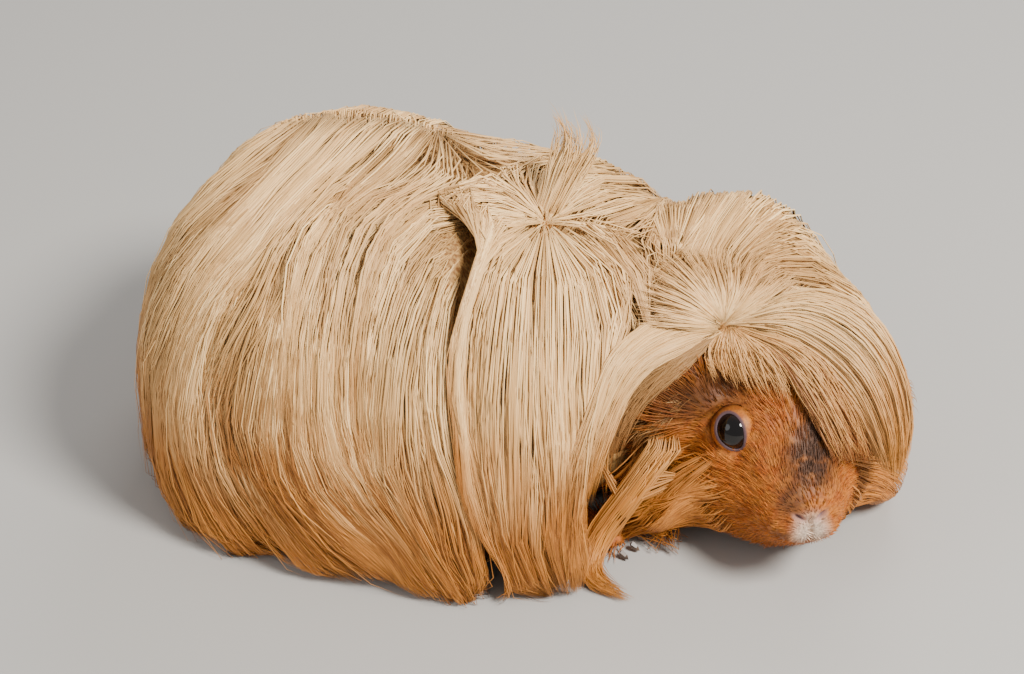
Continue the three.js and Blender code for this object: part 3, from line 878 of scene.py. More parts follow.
def flow(points, normals):
    """Unit direction of the hair at points of the coat's surface."""
    down = -UP - normals * (-UP @ normals.T)[:, None]
    ahead = np.cross(UP, normals) * -normals[:, 1:2]
    angle = np.radians(lean(points) + 6 * ripple(points, 38, SEED))[:, None]
    steep = np.linalg.norm(down, axis=1, keepdims=True)
    total = (down * np.cos(angle) + ahead * steep * np.sin(angle)) * steep
    for start, end, reach, strength in WHORLS:
        away = from_line(points, start, end)
        distance = np.linalg.norm(away, axis=1, keepdims=True)
        total = total + strength * unit(away) * np.exp(-distance / reach)
    total = total - normals * (total * normals).sum(1, keepdims=True)
    total = unit(total)
    clear, inward = room(points)
    into = (total * inward).sum(1) * smooth(clear, ROOM_MARGIN, 1)
    total = total - inward * np.maximum(into, 0)[:, None]
    return unit(total - normals * (total * normals).sum(1, keepdims=True))


# The parting on the right side, between the fall of the flank and the fall of the shoulder: its
# place along the body at each height.
PARTING_HEIGHTS = (8, 26, 41, 56, 73, 88, 97)
PARTING_PLACES = (15, 9.5, 4.8, 1, -1.8, -3.2, -3)

# Valleys between the big falls of hair: two ends, width and depth.
VALLEYS = [
    ((-3, -12, 99), (-3, -38, 88), 4.5, 5),
    ((-3, -38, 88), (1, -56, 56), 4.5, 3.5),
    ((1, -56, 56), (15, -62, 8), 4, 3),
    ((-58, -41, 92), (-72, -52, 66), 4.5, 5),
    ((67, 27, 90), (88, 36, 72), 16, 6.5),
]


def valley(points):
    """Depth that the valleys add at points."""
    depth = np.zeros(len(points))
    for start, end, width, deep in VALLEYS:
        away = np.linalg.norm(from_line(points, start, end), axis=1)
        depth = np.maximum(depth, deep * np.exp(-((away / width) ** 2)))
    return depth


def part_hair(paths, ahead):
    """Keeps the flank's hair behind the parting and, where ahead is true, the rest before it."""
    x, y, z = paths[..., 0], paths[..., 1], paths[..., 2]
    line = np.interp(z, PARTING_HEIGHTS, PARTING_PLACES) + 1.2 * np.sin(z / 7)
    gap = blend(z, 45, 85, -0.6, 1.5)
    use = smooth(-y, 6, 14)
    behind = np.maximum(x - line + gap, 0) * (~ahead)[:, None]
    before = np.minimum(x - line - gap, 0) * ahead[:, None]
    moved = paths.copy()
    moved[..., 0] -= (behind + before) * 0.92 * use
    return moved


def surface_seeds(name, count, rng, hull, low=6.0):
    """Random points on the outer side of a CAD node of the coat."""
    _, tri, cross = triangles(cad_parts[name].data)
    area = np.linalg.norm(cross, axis=1)
    chance = area * (cross[:, 2] / np.maximum(area, 1e-9) > -0.3)
    kept = []
    total = 0
    while total < count:
        _, spots = scatter(tri, chance, count * 2, rng)
        outer = np.abs(hull.at(spots)[0]) < 2.2
        chosen = blend(spots[:, 2], 15, 85, 0.16, 1) * blend(to_whorls(spots), 3, 26, 1, 0.5)
        high = rng.uniform(size=len(spots)) < chosen
        good = spots[outer & high & (spots[:, 2] > low) & (room(spots)[0] > 0.8)]
        kept.append(good)
        total += len(good)
        if not len(good):
            break
    return np.concatenate(kept)[:count]


def nearest_index(points, centres):
    """Index of the nearest centre for each point, worked out in slices."""
    out = np.empty(len(points), int)
    for start in range(0, len(points), 2000):
        part = points[start:start + 2000]
        gap = ((part[:, None, :] - centres[None]) ** 2).sum(2)
        out[start:start + 2000] = gap.argmin(1)
    return out


# Steps in which a long hair is combed, and the points that its path keeps.
STEPS = 26
LONG_POINTS = 10


def comb(seeds, lengths, deep, shallow, rise, hull, scalp):
    """Paths of hairs from the skin, out to their seeds and on along the lie of the coat."""
    place = seeds.copy()
    _, normals = hull.at(place)
    place = place - normals * (deep + valley(seeds))[:, None]
    paths = [place.copy()]
    step = (lengths / STEPS)[:, None]
    # Each step on the floor is shorter than the last, so the flank trails and the shoulder stops.
    trail = blend(seeds[:, 0:1], 0, 16, 0.88, 0.3)
    live = np.ones(len(seeds), bool)
    for k in range(STEPS):
        _, normals = hull.at(place)
        heading = flow(place, normals)
        place = place + heading * step * live[:, None]
        distance, normals = hull.at(place)
        share = smooth((k + 1) * lengths / STEPS / rise, 0, 1)
        wanted = -(deep + (shallow - deep) * share) - valley(place)
        place = place + normals * ((wanted - distance) * 0.5 * live)[:, None]
        place[:, 2] = np.maximum(place[:, 2], 1.0)
        step = step * np.where(place[:, 2:] > 2.5, 1, trail)
        live = live & (step[:, 0] > 0.5)
        paths.append(place.copy())
    paths = respace(np.stack(paths, 1), LONG_POINTS - 1)
    roots, inner, uv = scalp.nearest(paths[:, 0])
    paths = np.concatenate([(roots - inner * 0.6)[:, None], paths], 1)
    return paths, uv


def settle(paths, hull, skin_field, gap=0.25, free=0.0):
    """Keeps hairs inside the coat's outline, outside the skin and above the floor."""
    shape = paths.shape
    flat = paths.reshape(-1, 3)
    distance, normals = hull.at(flat)
    flat = flat - normals * np.maximum(distance + gap - np.reshape(free, -1), 0)[:, None]
    inside, skyward = skin_field.at(flat)
    flat = flat + skyward * np.maximum(0.4 - inside, 0)[:, None]
    flat[:, 2] = np.maximum(flat[:, 2], 0.5)
    settled = flat.reshape(shape)
    settled[:, 0] = paths[:, 0]
    return settled


COAT_COUNTS = {
    "coat_rump": 3500,
    "coat_flank_left": 1700,
    "coat_flank_right": 3800,
    "coat_shoulder_left": 1300,
    "coat_shoulder_right": 3800,
    "mane_left": 2000,
    "mane_right": 1800,
}
LOCK_COUNT = 240
STRAND_COUNT = 1900

# Loose hairs: their share of the coat, how far they stray, and how far they stand off it.
LOOSE_SHARE = 0.05
LOOSE_STRAY = 2.4
LOOSE_RISE = 3.0
USUAL_STRAY = 0.45


def coat_seeds(hull, rng):
    """Places on the coat for hairs to pass, and the CAD node that each is on."""
    seeds = []
    owner = []
    for name, count in COAT_COUNTS.items():
        spots = surface_seeds(name, count, rng, hull)
        seeds.append(spots)
        owner += [name] * len(spots)
    return np.concatenate(seeds), np.array(owner)


def clear_of_face(paths):
    """Whether each hair stays out of the open room round the face."""
    outside, _ = room(paths.reshape(-1, 3))
    outside = np.where(paths[..., 2] < ROOM_TOP, outside.reshape(len(paths), -1), 0)
    return outside.min(1) > -ROOM_LIMIT


def make_long_coat(hull, skin_field, scalp, material):
    """The falling hair of body and neck, one piece for each CAD node of the coat."""
    rng = np.random.default_rng(SEED)
    seeds, owner = coat_seeds(hull, rng)
    total = len(seeds)
    locks = rng.choice(total, LOCK_COUNT, replace=False)
    strands = rng.choice(total, STRAND_COUNT, replace=False)
    ahead = ~np.isin(owner, ["coat_rump", "coat_flank_left", "coat_flank_right"])
    fall = np.stack([60 * ahead, 30 * np.sign(seeds[:, 1] - 2)], 1)
    key = np.concatenate([seeds, fall], 1)
    strand_of = nearest_index(key, key[strands])
    lock_of = nearest_index(key[strands], key[locks])
    lock_tone = rng.uniform(size=LOCK_COUNT)
    lock_depth = rng.uniform(0, 1, LOCK_COUNT)
    lock_length = rng.uniform(0.6, 1.1, LOCK_COUNT)
    strand_tone = rng.uniform(size=STRAND_COUNT)
    my_lock = lock_of[strand_of]
    lengths = blend(seeds[:, 2], 35, 92, 84, 140) * blend(seeds[:, 0], 25, 60, 1, 0.85)
    lengths = lengths * lock_length[my_lock] * rng.uniform(0.85, 1.05, total)
    close = to_whorls(seeds)
    deep = blend(close, 2, 26, 0.8, 7.5) * rng.uniform(0.7, 1.25, total)
    rise = blend(seeds[:, 2], 40, 92, 60, 26)
    layer = blend(seeds[:, 2], 20, 95, 4.2, 0.8) + 4.2 * (lock_depth[my_lock] - 0.4)
    shallow = np.maximum(layer + rng.uniform(-0.9, 1.1, total), 0.3)
    paths, uv = comb(seeds, lengths, deep, shallow, rise, hull, scalp)
    along = np.linspace(0, 1, LONG_POINTS)[None, :, None]
    lock_path = paths[locks][lock_of]
    strand_pull = 0.75 * smooth(along, 0.25, 1.0)
    strand_path = paths[strands] + (lock_path - paths[strands]) * strand_pull
    loose = rng.uniform(size=total) < LOOSE_SHARE
    pull = np.where(loose, 0.1, rng.uniform(0.5, 0.88, total))[:, None, None]
    paths = paths + (strand_path[strand_of] - paths) * pull * smooth(along, 0.1, 0.9)
    waves = ripples(paths.reshape(-1, 3), 24, SEED)
    stray = np.where(loose, LOOSE_STRAY, USUAL_STRAY)[:, None, None]
    phase = rng.uniform(0, 2 * math.pi, (total, 1, 3))
    curl = np.sin(along * 7 + phase) * along
    paths = paths + waves.reshape(paths.shape) * 0.8 * along + curl * stray
    paths = part_hair(paths, ahead)
    free = np.where(loose, rng.uniform(0, LOOSE_RISE, total), 0.0)[:, None] * along[..., 0] ** 2
    paths = settle(paths, hull, skin_field, free=free)
    _, outward = hull.at(paths.reshape(-1, 3))
    outward = outward.reshape(paths.shape)
    kept = clear_of_face(paths)
    seen = (seeds[:, 1] < 10) | (owner == "coat_rump")
    widths = taper(total, LONG_POINTS, 1.0, rng)
    widths = widths * np.where(seen, SEEN_WIDTH, BACK_WIDTH)[:, None]
    hair_tone = np.clip(strand_tone[strand_of] * 0.6 + rng.uniform(0, 0.4, total), 0, 1)
    tags = {"hair": hair_tone, "lock": lock_tone[my_lock]}
    pieces = []
    for name in COAT_COUNTS:
        mine = (owner == name) & kept
        piece = hair_share(f"{name}_hair", mine, paths, widths, outward, tags, uv, material)
        pieces.append(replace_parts(piece, name))
    return pieces


def make_undercoat_and_shade(material, hull):
    """Dense underwool, well inside the long hair; its colour is partly the underwool's own and
    partly painted shade of the coat's depths.
    """
    mesh = shell(BODY_COAT, voxel=2.5, grow=0.5, rounds=4)
    points = to_animal(corners(mesh))
    _, outward = hull.at(points)
    deep = blend(points[:, 2], 4, 30, 11, 8) - blend(points[:, 2], 50, 80, 0, 1.6) + valley(points)
    points = points - outward * deep[:, None]
    points[:, 2] = np.maximum(points[:, 2], 4)
    mesh.vertices.foreach_set("co", to_row(points).ravel())
    mesh.shade_smooth()
    mesh.materials.append(material)
    return link(bpy.data.objects.new("undercoat_and_shade", mesh))


# -------------------------------------------------------------------------------------------------
# Locks laid along a line of their own


def curve_at(points, share):
    """A smooth curve through a few points, at shares from 0 to 1 (Catmull-Rom)."""
    points = np.asarray(points, float)
    padded = np.concatenate([[2 * points[0] - points[1]], points, [2 * points[-1] - points[-2]]])
    place = np.clip(np.asarray(share, float), 0, 1) * (len(points) - 1)
    span = np.minimum(place.astype(int), len(points) - 2)
    t = (place - span)[..., None]
    a, b, c, d = (padded[span + i] for i in range(4))
    square = (2 * a - 5 * b + 4 * c - d) * t ** 2
    return 0.5 * (2 * b + (c - a) * t + square + (3 * b - a - 3 * c + d) * t ** 3)


def laid_lock(
    name, edges, thick, out, count, points, material, scalp, rng,
    start=0.2, shortest=0.72, stray=0.6, width=SEEN_WIDTH, clumps=8, bulge=1.5,
):
    """Hairs side by side between lines from root to tip, and thick deep below them.

    out is the way off the body. Roots lie before start and tips beyond shortest, as shares of the
    lines. Hairs draw together in clumps, stray from them, and bulge out in the lock's middle.
    """
    across = rng.uniform(0, 1, count)
    depth = rng.uniform(0, 1, count) ** 0.8
    first = rng.uniform(0, start, count)
    last = rng.uniform(shortest, 1.0, count)
    share = first[:, None] + (last - first)[:, None] * np.linspace(0, 1, points)[None, :]
    group = np.floor(across * clumps)
    middle = (group + 0.5) / clumps
    pull = smooth(share, 0.25, 1) * 0.7
    spot = across[:, None] * (1 - pull) + middle[:, None] * pull
    lines = np.stack([curve_at(edge, share) for edge in edges])
    between = np.clip(spot, 0, 0.9999) * (len(edges) - 1)
    nearer = between.astype(int)
    rows = np.arange(count)[:, None]
    columns = np.arange(points)[None, :]
    centre = lines[nearer, rows, columns]
    centre = centre + (lines[nearer + 1, rows, columns] - centre) * (between - nearer)[..., None]
    deep = np.interp(share, np.linspace(0, 1, len(thick)), thick)
    high = bulge * np.sin(math.pi * spot) - depth[:, None] * deep
    high = high + 0.25 * deep * np.sin(group * 2.4)[:, None] * share
    centre = centre + unit(np.array(out, float)) * high[..., None]
    phase = rng.uniform(0, 2 * math.pi, (count, 1, 3))
    along = np.linspace(0, 1, points)[None, :, None]
    centre = centre + np.sin(along * 5 + phase) * along * stray
    centre[..., 2] = np.maximum(centre[..., 2], 0.6)
    roots, inward, uv = scalp.nearest(centre[:, 0])
    centre = np.concatenate([(roots - inward * 0.5)[:, None], centre], 1)
    outward = np.broadcast_to(unit(np.array(out, float)), centre.shape)
    widths = taper(count, centre.shape[1], width, rng)
    tone = rng.uniform(size=clumps)[group.astype(int)]
    tags = {"hair": np.clip(0.6 * tone + rng.uniform(0, 0.4, count), 0, 1), "lock": tone * 0.8}
    return hair_piece(name, centre, widths, outward, tags, uv, material)


# The lines between which the hair of each lock lies, from root to tip. Those of the forelock, the
# forehead and the brow are in the head's frame, and the others in the animal's.
FORELOCK = (
    [
        (-39, -13, 43), (-34, 0, 39.5), (-27, 9.6, 33.5),
        (-21, 16.7, 26), (-15.5, 21.5, 16), (-12, 26, 4),
    ],
    [(-40, -12, 45), (-37, 8, 53.5), (-30, 23, 50), (-22, 31.5, 38), (-14, 34, 20), (-10, 29, 1)],
)
FOREHEAD = (
    [(-39, -15, 43), (-36, -20, 39.5), (-33, -21, 35), (-31, -20, 31)],
    [(-38, -12, 43), (-31, -1, 38), (-25, 5, 31), (-19, 8, 23)],
)
BROW = (
    [(-38, -13, 42), (-31, -3, 37.5), (-23, 3, 30), (-14, 8.5, 18), (-11, 10.5, 12)],
    [(-39, -11, 43), (-31, 9, 38), (-25, 18, 28), (-19, 24, 14), (-17, 26, 4)],
)
TEMPLE = (
    [
        (61.5, -4, 67), (53.5, -10.5, 63), (45, -17, 60.5),
        (39, -23.5, 54), (36, -34, 45), (33, -43, 29),
    ],
    [(60.5, -3, 69), (46, -8, 73), (36, -27, 73), (32.5, -37.5, 63), (30, -48, 50), (29, -54, 29)],
)
# The shade lock under the blond arch is dark hair: partly its own grey-brown, partly painted shade
# of the arch's underside.
TEMPLE_SHADE = (
    [
        (60.5, -4, 68), (53, -9, 64.5), (45.5, -14, 61),
        (38.5, -19, 55), (35, -27, 46), (33, -33, 33),
    ],
    [
        (61.5, -2.5, 66.6), (56.7, -9, 62), (49.8, -16.5, 56.8),
        (43.7, -20, 50), (39.5, -25, 42), (37, -30, 33),
    ],
)
CROWN = (
    [(61, -3.5, 68.5), (52, -10, 71.5), (38, -17, 75)],
    [(61, -3, 69), (51, -5, 76), (36.5, -8, 81.5)],
    [(61.5, -2.5, 69.5), (52, 1, 77.5), (38, 6, 84.5)],
    [(62, -2, 69.5), (58, 3, 77.5), (49, 13, 85.5)],
    [(62, -2, 69.5), (63, 3, 77), (62, 14, 84)],
    [(62.5, -1.5, 69), (70, 4, 75), (79, 15, 79.5)],
    [(63, -1.5, 68.5), (75, 4, 70), (87, 15, 74)],
)
CHEEK_LOCK = (
    [(55, -20.5, 36), (46, -28, 22), (38, -33, 8), (37, -41, 3), (47, -47, 1.5)],
    [(46, -20.6, 37.7), (38, -26, 22), (31, -34, 8), (34, -45, 2), (49, -48, 1.2)],
)
BACK_TUFT = (
    [(6, 1, 94), (8, 9, 104.5), (9, 15, 112.5), (3, 20, 118.5)],
    [(13, 1, 94), (18, 9, 103), (21, 15, 111), (16, 21, 117.5)],
)


def make_laid_locks(blond, golden, brown, dusky_and_shade, scalp):
    """The locks of the face, the crown and the back, each along lines of its own."""
    rng = np.random.default_rng(SEED + 1)
    front = head_direction(0.8, 0.25, 0.5)
    side = (-0.1, -0.9, 0.45)
    forelock, forehead, brow = ([from_head(e) for e in lock] for lock in (FORELOCK, FOREHEAD, BROW))
    pieces = {}

    def lay(name, edges, thick, out, count, points, material, **options):
        pieces[name] = laid_lock(
            name, edges, thick, out, count, points, material, scalp, rng, **options
        )

    lay(
        "forelock_hair", forelock, (2, 5, 5, 4, 2), front, 1500, 11, blond,
        clumps=11, shortest=0.78, bulge=2,
    )
    lay(
        "forelock_wisps", brow, (1, 2, 2, 1), front, 260, 9, golden,
        clumps=14, shortest=0.55, stray=1.6, width=0.15, bulge=2.5,
    )
    lay(
        "brow_hair", brow, (1, 3, 4, 3), front, 650, 9, brown,
        clumps=12, shortest=0.6, stray=0.9, width=0.2,
    )
    lay(
        "forehead_hair", forehead, (1, 3, 3, 2), front, 520, 7, golden,
        clumps=10, shortest=0.4, stray=0.9, width=0.18,
    )
    lay(
        "temple_hair", TEMPLE, (1, 4, 5, 5, 4, 3), side, 850, 11, blond,
        clumps=17, bulge=2, stray=1.1,
    )
    # Dark hair under the blond arch: partly grey-brown hair, partly painted shade.
    lay(
        "temple_shade_hair", TEMPLE_SHADE, (0.5, 1.5, 2, 2, 2, 2), side, 520, 9, dusky_and_shade,
        clumps=9, shortest=0.35, stray=1.5, width=0.18, bulge=1,
    )
    lay(
        "cheek_lock_hair", CHEEK_LOCK, (2, 4, 3, 2, 1), (-0.2, -0.95, 0.3), 620, 11, golden,
        clumps=9, shortest=0.6, bulge=2.5, start=0.45, stray=1.0,
    )
    lay(
        "crown_hair", CROWN, (0.5, 1.5, 3), (0.1, -0.3, 0.9), 1150, 7, blond,
        clumps=26, shortest=0.6, start=0.25, bulge=0.5,
    )
    lay(
        "back_tuft_hair", BACK_TUFT, (1, 1.5, 2, 2), (0.3, -0.8, 0.2), 120, 10, blond,
        clumps=5, shortest=0.6, stray=1.6, start=0.1, width=0.17,
    )
    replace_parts(pieces["forelock_hair"], "forelock")
    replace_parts(pieces["cheek_lock_hair"], "cheek_lock_right")
    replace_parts(pieces["back_tuft_hair"], "back_tuft")
    return pieces.values()


# -------------------------------------------------------------------------------------------------
# Short fur

FACE_HAIRS = 13500
FACE_POINTS = 4
CHEEK_HAIRS = (("cheek_fur_left", 1, 1000), ("cheek_fur_right", -1, 1500))
EAR_HAIRS = 1500
FUR_POINTS = 6


def skin_seeds(skin, count, rng, keep):
    """Random points on the skin where keep(head-frame points) allows, with their normals."""
    faces, tri, cross = triangles(skin.data)
    bare = np.zeros(len(skin.data.vertices))
    skin.data.attributes["bare"].data.foreach_get("value", bare)
    chance = np.linalg.norm(cross, axis=1) * keep(to_head(tri.mean(1))) * (bare[faces].max(1) < 0.3)
    pick, spots = scatter(tri, chance, count, rng)
    return spots, unit(cross[pick])


def face_area(head):
    """Share of the short fur by place: all of the face, fading behind the cheeks."""
    return smooth(head[:, 0], -56, -44) * (0.55 + 0.9 * smooth(head[:, 0], -44, -20))


def make_face_fur(skin, skin_field, scalp, material, rng):
    """Short fur swept back from the nose, longer towards the cheeks."""
    count = FACE_HAIRS
    seeds, normals = skin_seeds(skin, count, rng, face_area)
    _, soft = skin_field.at(seeds)
    head = to_head(seeds)
    back = unit(head - np.array([6.0, 0.0, -2.0])) @ HEAD_AXES.T
    lay = back + 0.3 * ripples(seeds, 14, SEED + 20)
    lay = lay + np.array([0, 0, -0.25]) * smooth(head[:, 0:1], -10, -35)
    lay = unit(lay - soft * (lay * soft).sum(1, keepdims=True))
    length = blend(head[:, 0], -2, -40, 2.2, 8.5) * rng.uniform(0.7, 1.25, count)
    length = length * blend(to_eyes(head), 7, 13, 0.26, 1)
    lift = blend(head[:, 0], -2, -40, 0.32, 0.26) + rng.uniform(-0.1, 0.14, count)
    share = np.linspace(0, 1, FACE_POINTS)[None, :, None]
    rise = soft[:, None] * (lift * length)[:, None, None] * (share - 0.45 * share ** 2)
    run = lay[:, None] * length[:, None, None] * share
    paths = seeds[:, None] - normals[:, None] * 0.3 * (1 - share) + run + rise
    paths = paths + rng.normal(0, 0.25, (count, 1, 3)) * share ** 2 * (length / 4)[:, None, None]
    outward = np.broadcast_to(soft[:, None], paths.shape)
    inside, skyward = skin_field.at(paths[:, 1:].reshape(-1, 3))
    pushed = skyward * np.maximum(0.25 - inside, 0)[:, None]
    paths[:, 1:] += pushed.reshape(paths[:, 1:].shape)
    paths[..., 2] = np.maximum(paths[..., 2], 0.5)
    widths = taper(count, FACE_POINTS, FACE_WIDTH, rng, tip=0.35)
    _, _, uv = scalp.nearest(seeds)
    tags = {"hair": rng.uniform(size=count), "lock": rng.uniform(size=count)}
    right = head[:, 1] < 0
    return [
        hair_share(name, mine, paths, widths, outward, tags, uv, material, silk=0.3)
        for name, mine in (("face_fur_right", right), ("face_fur_left", ~right))
    ]


def make_cheek_fur(hull, skin_field, scalp, material, rng):
    """Longer fur behind each cheek, swept back and down."""
    pieces = []
    for name, side, count in CHEEK_HAIRS:
        box = to_head(to_animal(corners(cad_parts[name].data)))
        spots = rng.uniform(0, 1, (count, 3))
        middle = (box.min(0) + box.max(0)) / 2
        reach = (box.max(0) - box.min(0)) / 2
        head = middle + (spots * 2 - 1) * reach * (0.9, 0.5, 0.9)
        head[:, 1] = head[:, 1] - side * reach[1] * 0.4
        head[:, 0] = head[:, 0] + 3 + 15 * rng.uniform(size=count) ** 2
        roots, normals, uv = scalp.nearest(from_head(head))
        lay = head_direction(-0.55, side * 0.35, -0.75)
        lay = unit(lay + 0.25 * ripples(roots, 12, SEED + 40))
        length = rng.uniform(15, 27, count)
        share = np.linspace(0, 1, FUR_POINTS)[None, :, None]
        bow = normals[:, None] * 9 * np.sin(share * math.pi * 0.6) * (length / 24)[:, None, None]
        run = lay[:, None] * length[:, None, None] * share
        paths = roots[:, None] - normals[:, None] * 0.5 * (1 - share) + run + bow
        paths = settle(paths, hull, skin_field)
        outward = np.broadcast_to(normals[:, None], paths.shape)
        widths = taper(count, FUR_POINTS, CHEEK_WIDTH, rng)
        tags = {"hair": rng.uniform(size=count), "lock": np.full(count, 0.4)}
        piece = hair_piece(f"{name}_hair", paths, widths, outward, tags, uv, material)
        pieces.append(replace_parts(piece, name))
    return pieces


# -------------------------------------------------------------------------------------------------
# Eyes and ears


def make_eye(name, side, material):
    """A ball that bulges a little at the cornea."""
    body = bmesh.new()
    bmesh.ops.create_uvsphere(body, u_segments=48, v_segments=32, radius=EYE_RADIUS)
    points = spots_of(body)
    angle = degrees_from(EYE_AXIS * (1, side, 1), unit(points))
    points = points * (1 + 0.05 * np.exp(-((angle / 34) ** 2)))[:, None]
    place_verts(body, points + EYE * (1, side, 1))
    eye = piece_from_bmesh(f"{name}_ball", body, material)
    tag(eye.data, "rim", smooth(angle, 30, 52))
    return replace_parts(eye, name)


# Section of an eyelid: degrees past the edge of the opening, and radius as a share of the eye's.
LID_SECTION = [
    (3, 0.98), (-0.5, 1.0), (-1.2, 1.03), (-0.5, 1.055), (1.5, 1.075), (4, 1.095), (8, 1.11),
    (18, 1.13), (32, 1.15), (32, 1.04), (12, 0.98),
]


def make_lids(name, side, material):
    """A closed ring of skin over the rim of the eye, pointed at its front corner."""
    body = bmesh.new()
    levels = len(LID_SECTION)
    bmesh.ops.create_grid(body, x_segments=72, y_segments=levels, size=0.5)
    grid = spots_of(body)
    around = (grid[:, 0] + 0.5) * 2 * math.pi
    place = np.rint((grid[:, 1] + 0.5) * levels).astype(int) % levels
    section = np.array(LID_SECTION, float)[place]
    axis = EYE_AXIS * (1, side, 1)
    forward, across = lid_axes(axis)
    angle = np.radians(lid_opening(around) + section[:, 0])
    direction = np.cos(around)[:, None] * forward + np.sin(around)[:, None] * across
    direction = np.cos(angle)[:, None] * axis + np.sin(angle)[:, None] * direction
    place_verts(body, EYE * (1, side, 1) + direction * EYE_RADIUS * section[:, 1:])
    bmesh.ops.remove_doubles(body, verts=body.verts, dist=0.001 * MM)
    bmesh.ops.recalc_face_normals(body, faces=body.faces)
    direction = unit(to_head(to_animal(spots_of(body))) - EYE * (1, side, 1))
    lids = piece_from_bmesh(f"{name}_lids", body, material)
    around = np.arctan2(direction @ across, direction @ forward)
    beyond = degrees_from(axis, direction) - lid_opening(around)
    tag(lids.data, "bare", 1 - smooth(beyond, 3, 8))
    tag(lids.data, "pink", np.zeros(len(direction)))
    return lids


EAR_BASE = np.array([-41.0, 22.0, 33.0])
EAR_WIDTH = 23
EAR_LENGTH = 23.5
EAR_THICK = 1.5


def make_ear(name, side, material):
    """A drooping petal, hollow towards the cheek, with a soft rolled edge."""
    base = EAR_BASE * (1, side, 1)
    along = unit(np.array([-0.1, side * 0.84, -0.5]))
    across = unit(np.array([0.9, side * 0.1, -0.25]))
    out = unit(np.cross(across, along)) * side
    body = bmesh.new()
    bmesh.ops.create_uvsphere(body, u_segments=40, v_segments=24, radius=1)
    points = spots_of(body)
    s = (1 - points[:, 2]) / 2
    angle = np.arctan2(points[:, 1], points[:, 0])
    round_end = np.sin(np.arccos(np.clip(points[:, 2], -1, 1)))
    half = EAR_WIDTH / 2 * np.maximum(round_end, 1e-6) ** 0.6 * (0.75 + 0.35 * s)
    wide = np.cos(angle) * half
    thick = EAR_THICK / 2 * np.minimum(1, 4 * round_end) * np.sin(angle)
    # The flap droops towards its tip, curls at its sides and ripples a little.
    droop = 8 * s * s + 0.018 * wide * wide + 0.5 * np.sin(wide * 0.7) * s
    place = base + along * (EAR_LENGTH * s)[:, None] + across * wide[:, None]
    place_verts(body, place + out * (thick - droop)[:, None])
    bmesh.ops.recalc_face_normals(body, faces=body.faces)
    ear = piece_from_bmesh(f"{name}_flap", body, material)
    tag(ear.data, "bare", np.full(len(points), 0.35))
    tag(ear.data, "pink", np.full(len(points), 0.25))
    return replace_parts(ear, name)


def make_ear_fur(ear, name, side, scalp, material, rng):
    """Soft hair over an ear, densest on its outer half, with a fringe past its edge."""
    points_on = to_animal(corners(ear.data))
    pick = rng.choice(len(points_on), EAR_HAIRS)
    seeds = points_on[pick] + rng.normal(0, 0.7, (EAR_HAIRS, 3))
    head = to_head(seeds) - EAR_BASE * (1, side, 1)
    reach = np.abs(head[:, 1]) / EAR_LENGTH
    kept = rng.uniform(size=EAR_HAIRS) < blend(reach, 0.1, 0.5, 0.4, 1)
    seeds = seeds[kept]
    lay = unit(head_direction(-0.3, side * 0.75, -0.5) + rng.normal(0, 0.22, seeds.shape))
    up = unit(head_direction(0.35, side * 0.3, 0.8))
    share = np.linspace(0, 1, FUR_POINTS)[None, :, None]
    length = rng.uniform(4, 9, len(seeds))[:, None, None]
    bow = up * (1.2 - 3.0 * share ** 2) * share * 1.5
    paths = seeds[:, None] + lay[:, None] * length * share + bow
    outward = np.broadcast_to(up, paths.shape)
    _, _, uv = scalp.nearest(seeds)
    tags = {"hair": rng.uniform(size=len(seeds)), "lock": rng.uniform(size=len(seeds))}
    widths = taper(len(seeds), FUR_POINTS, FRINGE_WIDTH, rng)
    return hair_piece(f"{name}_fringe", paths, widths, outward, tags, uv, material)


# -------------------------------------------------------------------------------------------------
# Stage

TARGET = Vector((0, 0, 0.050))
CAMERA_AZIMUTH = math.radians(15)
CAMERA_HEIGHT = math.radians(38)
CAMERA_DISTANCE = 0.6
CAMERA_VIEW = math.radians(28)


def make_camera():
    """The camera, from above and a little round to the animal's front."""
    back = Vector((
        math.sin(CAMERA_AZIMUTH) * math.cos(CAMERA_HEIGHT),
        -math.cos(CAMERA_AZIMUTH) * math.cos(CAMERA_HEIGHT),
        math.sin(CAMERA_HEIGHT),
    ))
    target = TARGET - Vector((SHIFT[0], SHIFT[1], 0)) * MM
    camera = bpy.data.cameras.new("camera")
    camera.angle = CAMERA_VIEW
    view = link(bpy.data.objects.new("camera", camera))
    view.location = target + back * CAMERA_DISTANCE
    view.rotation_euler = back.to_track_quat("Z", "Y").to_euler()
    bpy.context.scene.camera = view


def area_light(name, place, size, power, tint=(1, 1, 1)):
    """A round lamp that faces the middle of the floor."""
    data = bpy.data.lights.new(name, "AREA")
    data.shape = "DISK"
    data.size = size
    data.energy = power
    data.color = tint
    lamp = link(bpy.data.objects.new(name, data))
    lamp.location = place
    lamp.rotation_euler = Vector(place).to_track_quat("Z", "Y").to_euler()


FLOOR_GREY = (0.46, 0.45, 0.435, 1)
STUDIO_WHITE = (1.0, 0.97, 0.93, 1)
STUDIO_LIGHT = 0.47


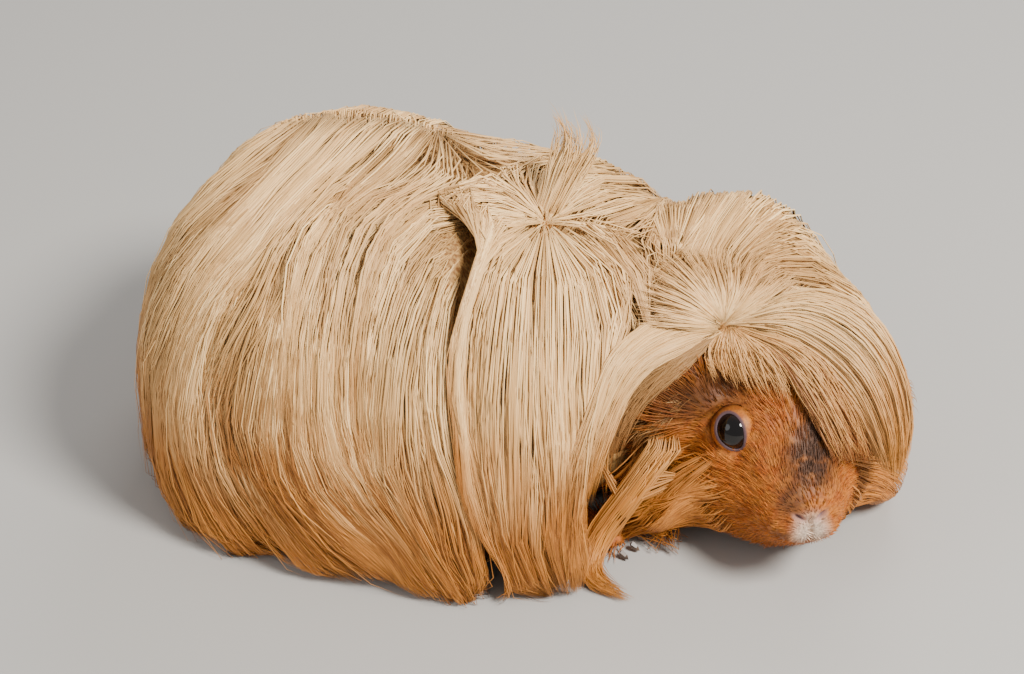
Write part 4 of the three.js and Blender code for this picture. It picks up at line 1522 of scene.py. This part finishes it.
def make_stage():
    """A matt floor in a pale room, with three lamps."""
    body = bmesh.new()
    bmesh.ops.create_grid(body, x_segments=1, y_segments=1, size=3.0)
    material, _, shader = new_material("floor", 0.8)
    shader.inputs["Base Color"].default_value = FLOOR_GREY
    piece_from_bmesh("floor", body, material)
    world = bpy.data.worlds.new("studio")
    world.use_nodes = True
    background = world.node_tree.nodes["Background"]
    background.inputs["Color"].default_value = STUDIO_WHITE
    background.inputs["Strength"].default_value = STUDIO_LIGHT
    bpy.context.scene.world = world
    area_light("key", (0.7, -0.3, 0.95), size=0.35, power=25, tint=(1.0, 0.96, 0.89))
    area_light("fill", (-0.8, -0.7, 0.7), size=0.8, power=3)
    area_light("rim", (0.1, 0.9, 0.8), size=0.6, power=4)


# -------------------------------------------------------------------------------------------------
# Making it


def ride_with_slot(piece):
    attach(piece, "root")


make_camera()
make_stage()

skin = make_skin(skin_material())
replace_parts(skin, *FLESH)
ride_with_slot(skin)

eye_finish = eye_material()
for label, side in (("eye_left", 1), ("eye_right", -1)):
    ride_with_slot(make_eye(label, side, eye_finish))
    ride_with_slot(make_lids(label, side, skin.data.materials[0]))
ears = {}
for label, side in (("ear_left", 1), ("ear_right", -1)):
    ears[label] = make_ear(label, side, skin.data.materials[0])
    ride_with_slot(ears[label])

horn = claw_material()
for label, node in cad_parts.items():
    if label.startswith("claw"):
        node.data.materials.clear()
        node.data.materials.append(horn)

outline = shell(BODY_COAT + CHEEK_COAT + FLESH, voxel=2.0, grow=0.5, rounds=4)
hull = Field(outline, step=2.6, margin=14)
skin_field = Field(skin.data, step=2.4, margin=10)
scalp = Scalp(skin)

blond = long_hair_material("blond_hair")
golden = long_hair_material("golden_hair", GOLD, 0.45)
brown = long_hair_material("brown_hair", RUST, 0.8)
tawny = long_hair_material("tawny_hair", ORANGE, 0.6)
# Dark hair for the ears and for the temple's shade lock, where it is partly painted shade under the
# blond arch.
dusky_and_shade = long_hair_material("dusky_and_shade_hair", ROOT, 0.7)
for piece in make_long_coat(hull, skin_field, scalp, blond):
    ride_with_slot(piece)
ride_with_slot(make_undercoat_and_shade(undercoat_and_shade_material(), hull))
for piece in make_laid_locks(blond, golden, brown, dusky_and_shade, scalp):
    ride_with_slot(piece)
random = np.random.default_rng(SEED + 2)
for piece in make_face_fur(skin, skin_field, scalp, short_fur_material(), random):
    ride_with_slot(piece)
for piece in make_cheek_fur(hull, skin_field, scalp, tawny, random):
    ride_with_slot(piece)
for label, side in (("ear_left", 1), ("ear_right", -1)):
    ride_with_slot(make_ear_fur(ears[label], label, side, scalp, dusky_and_shade, random))
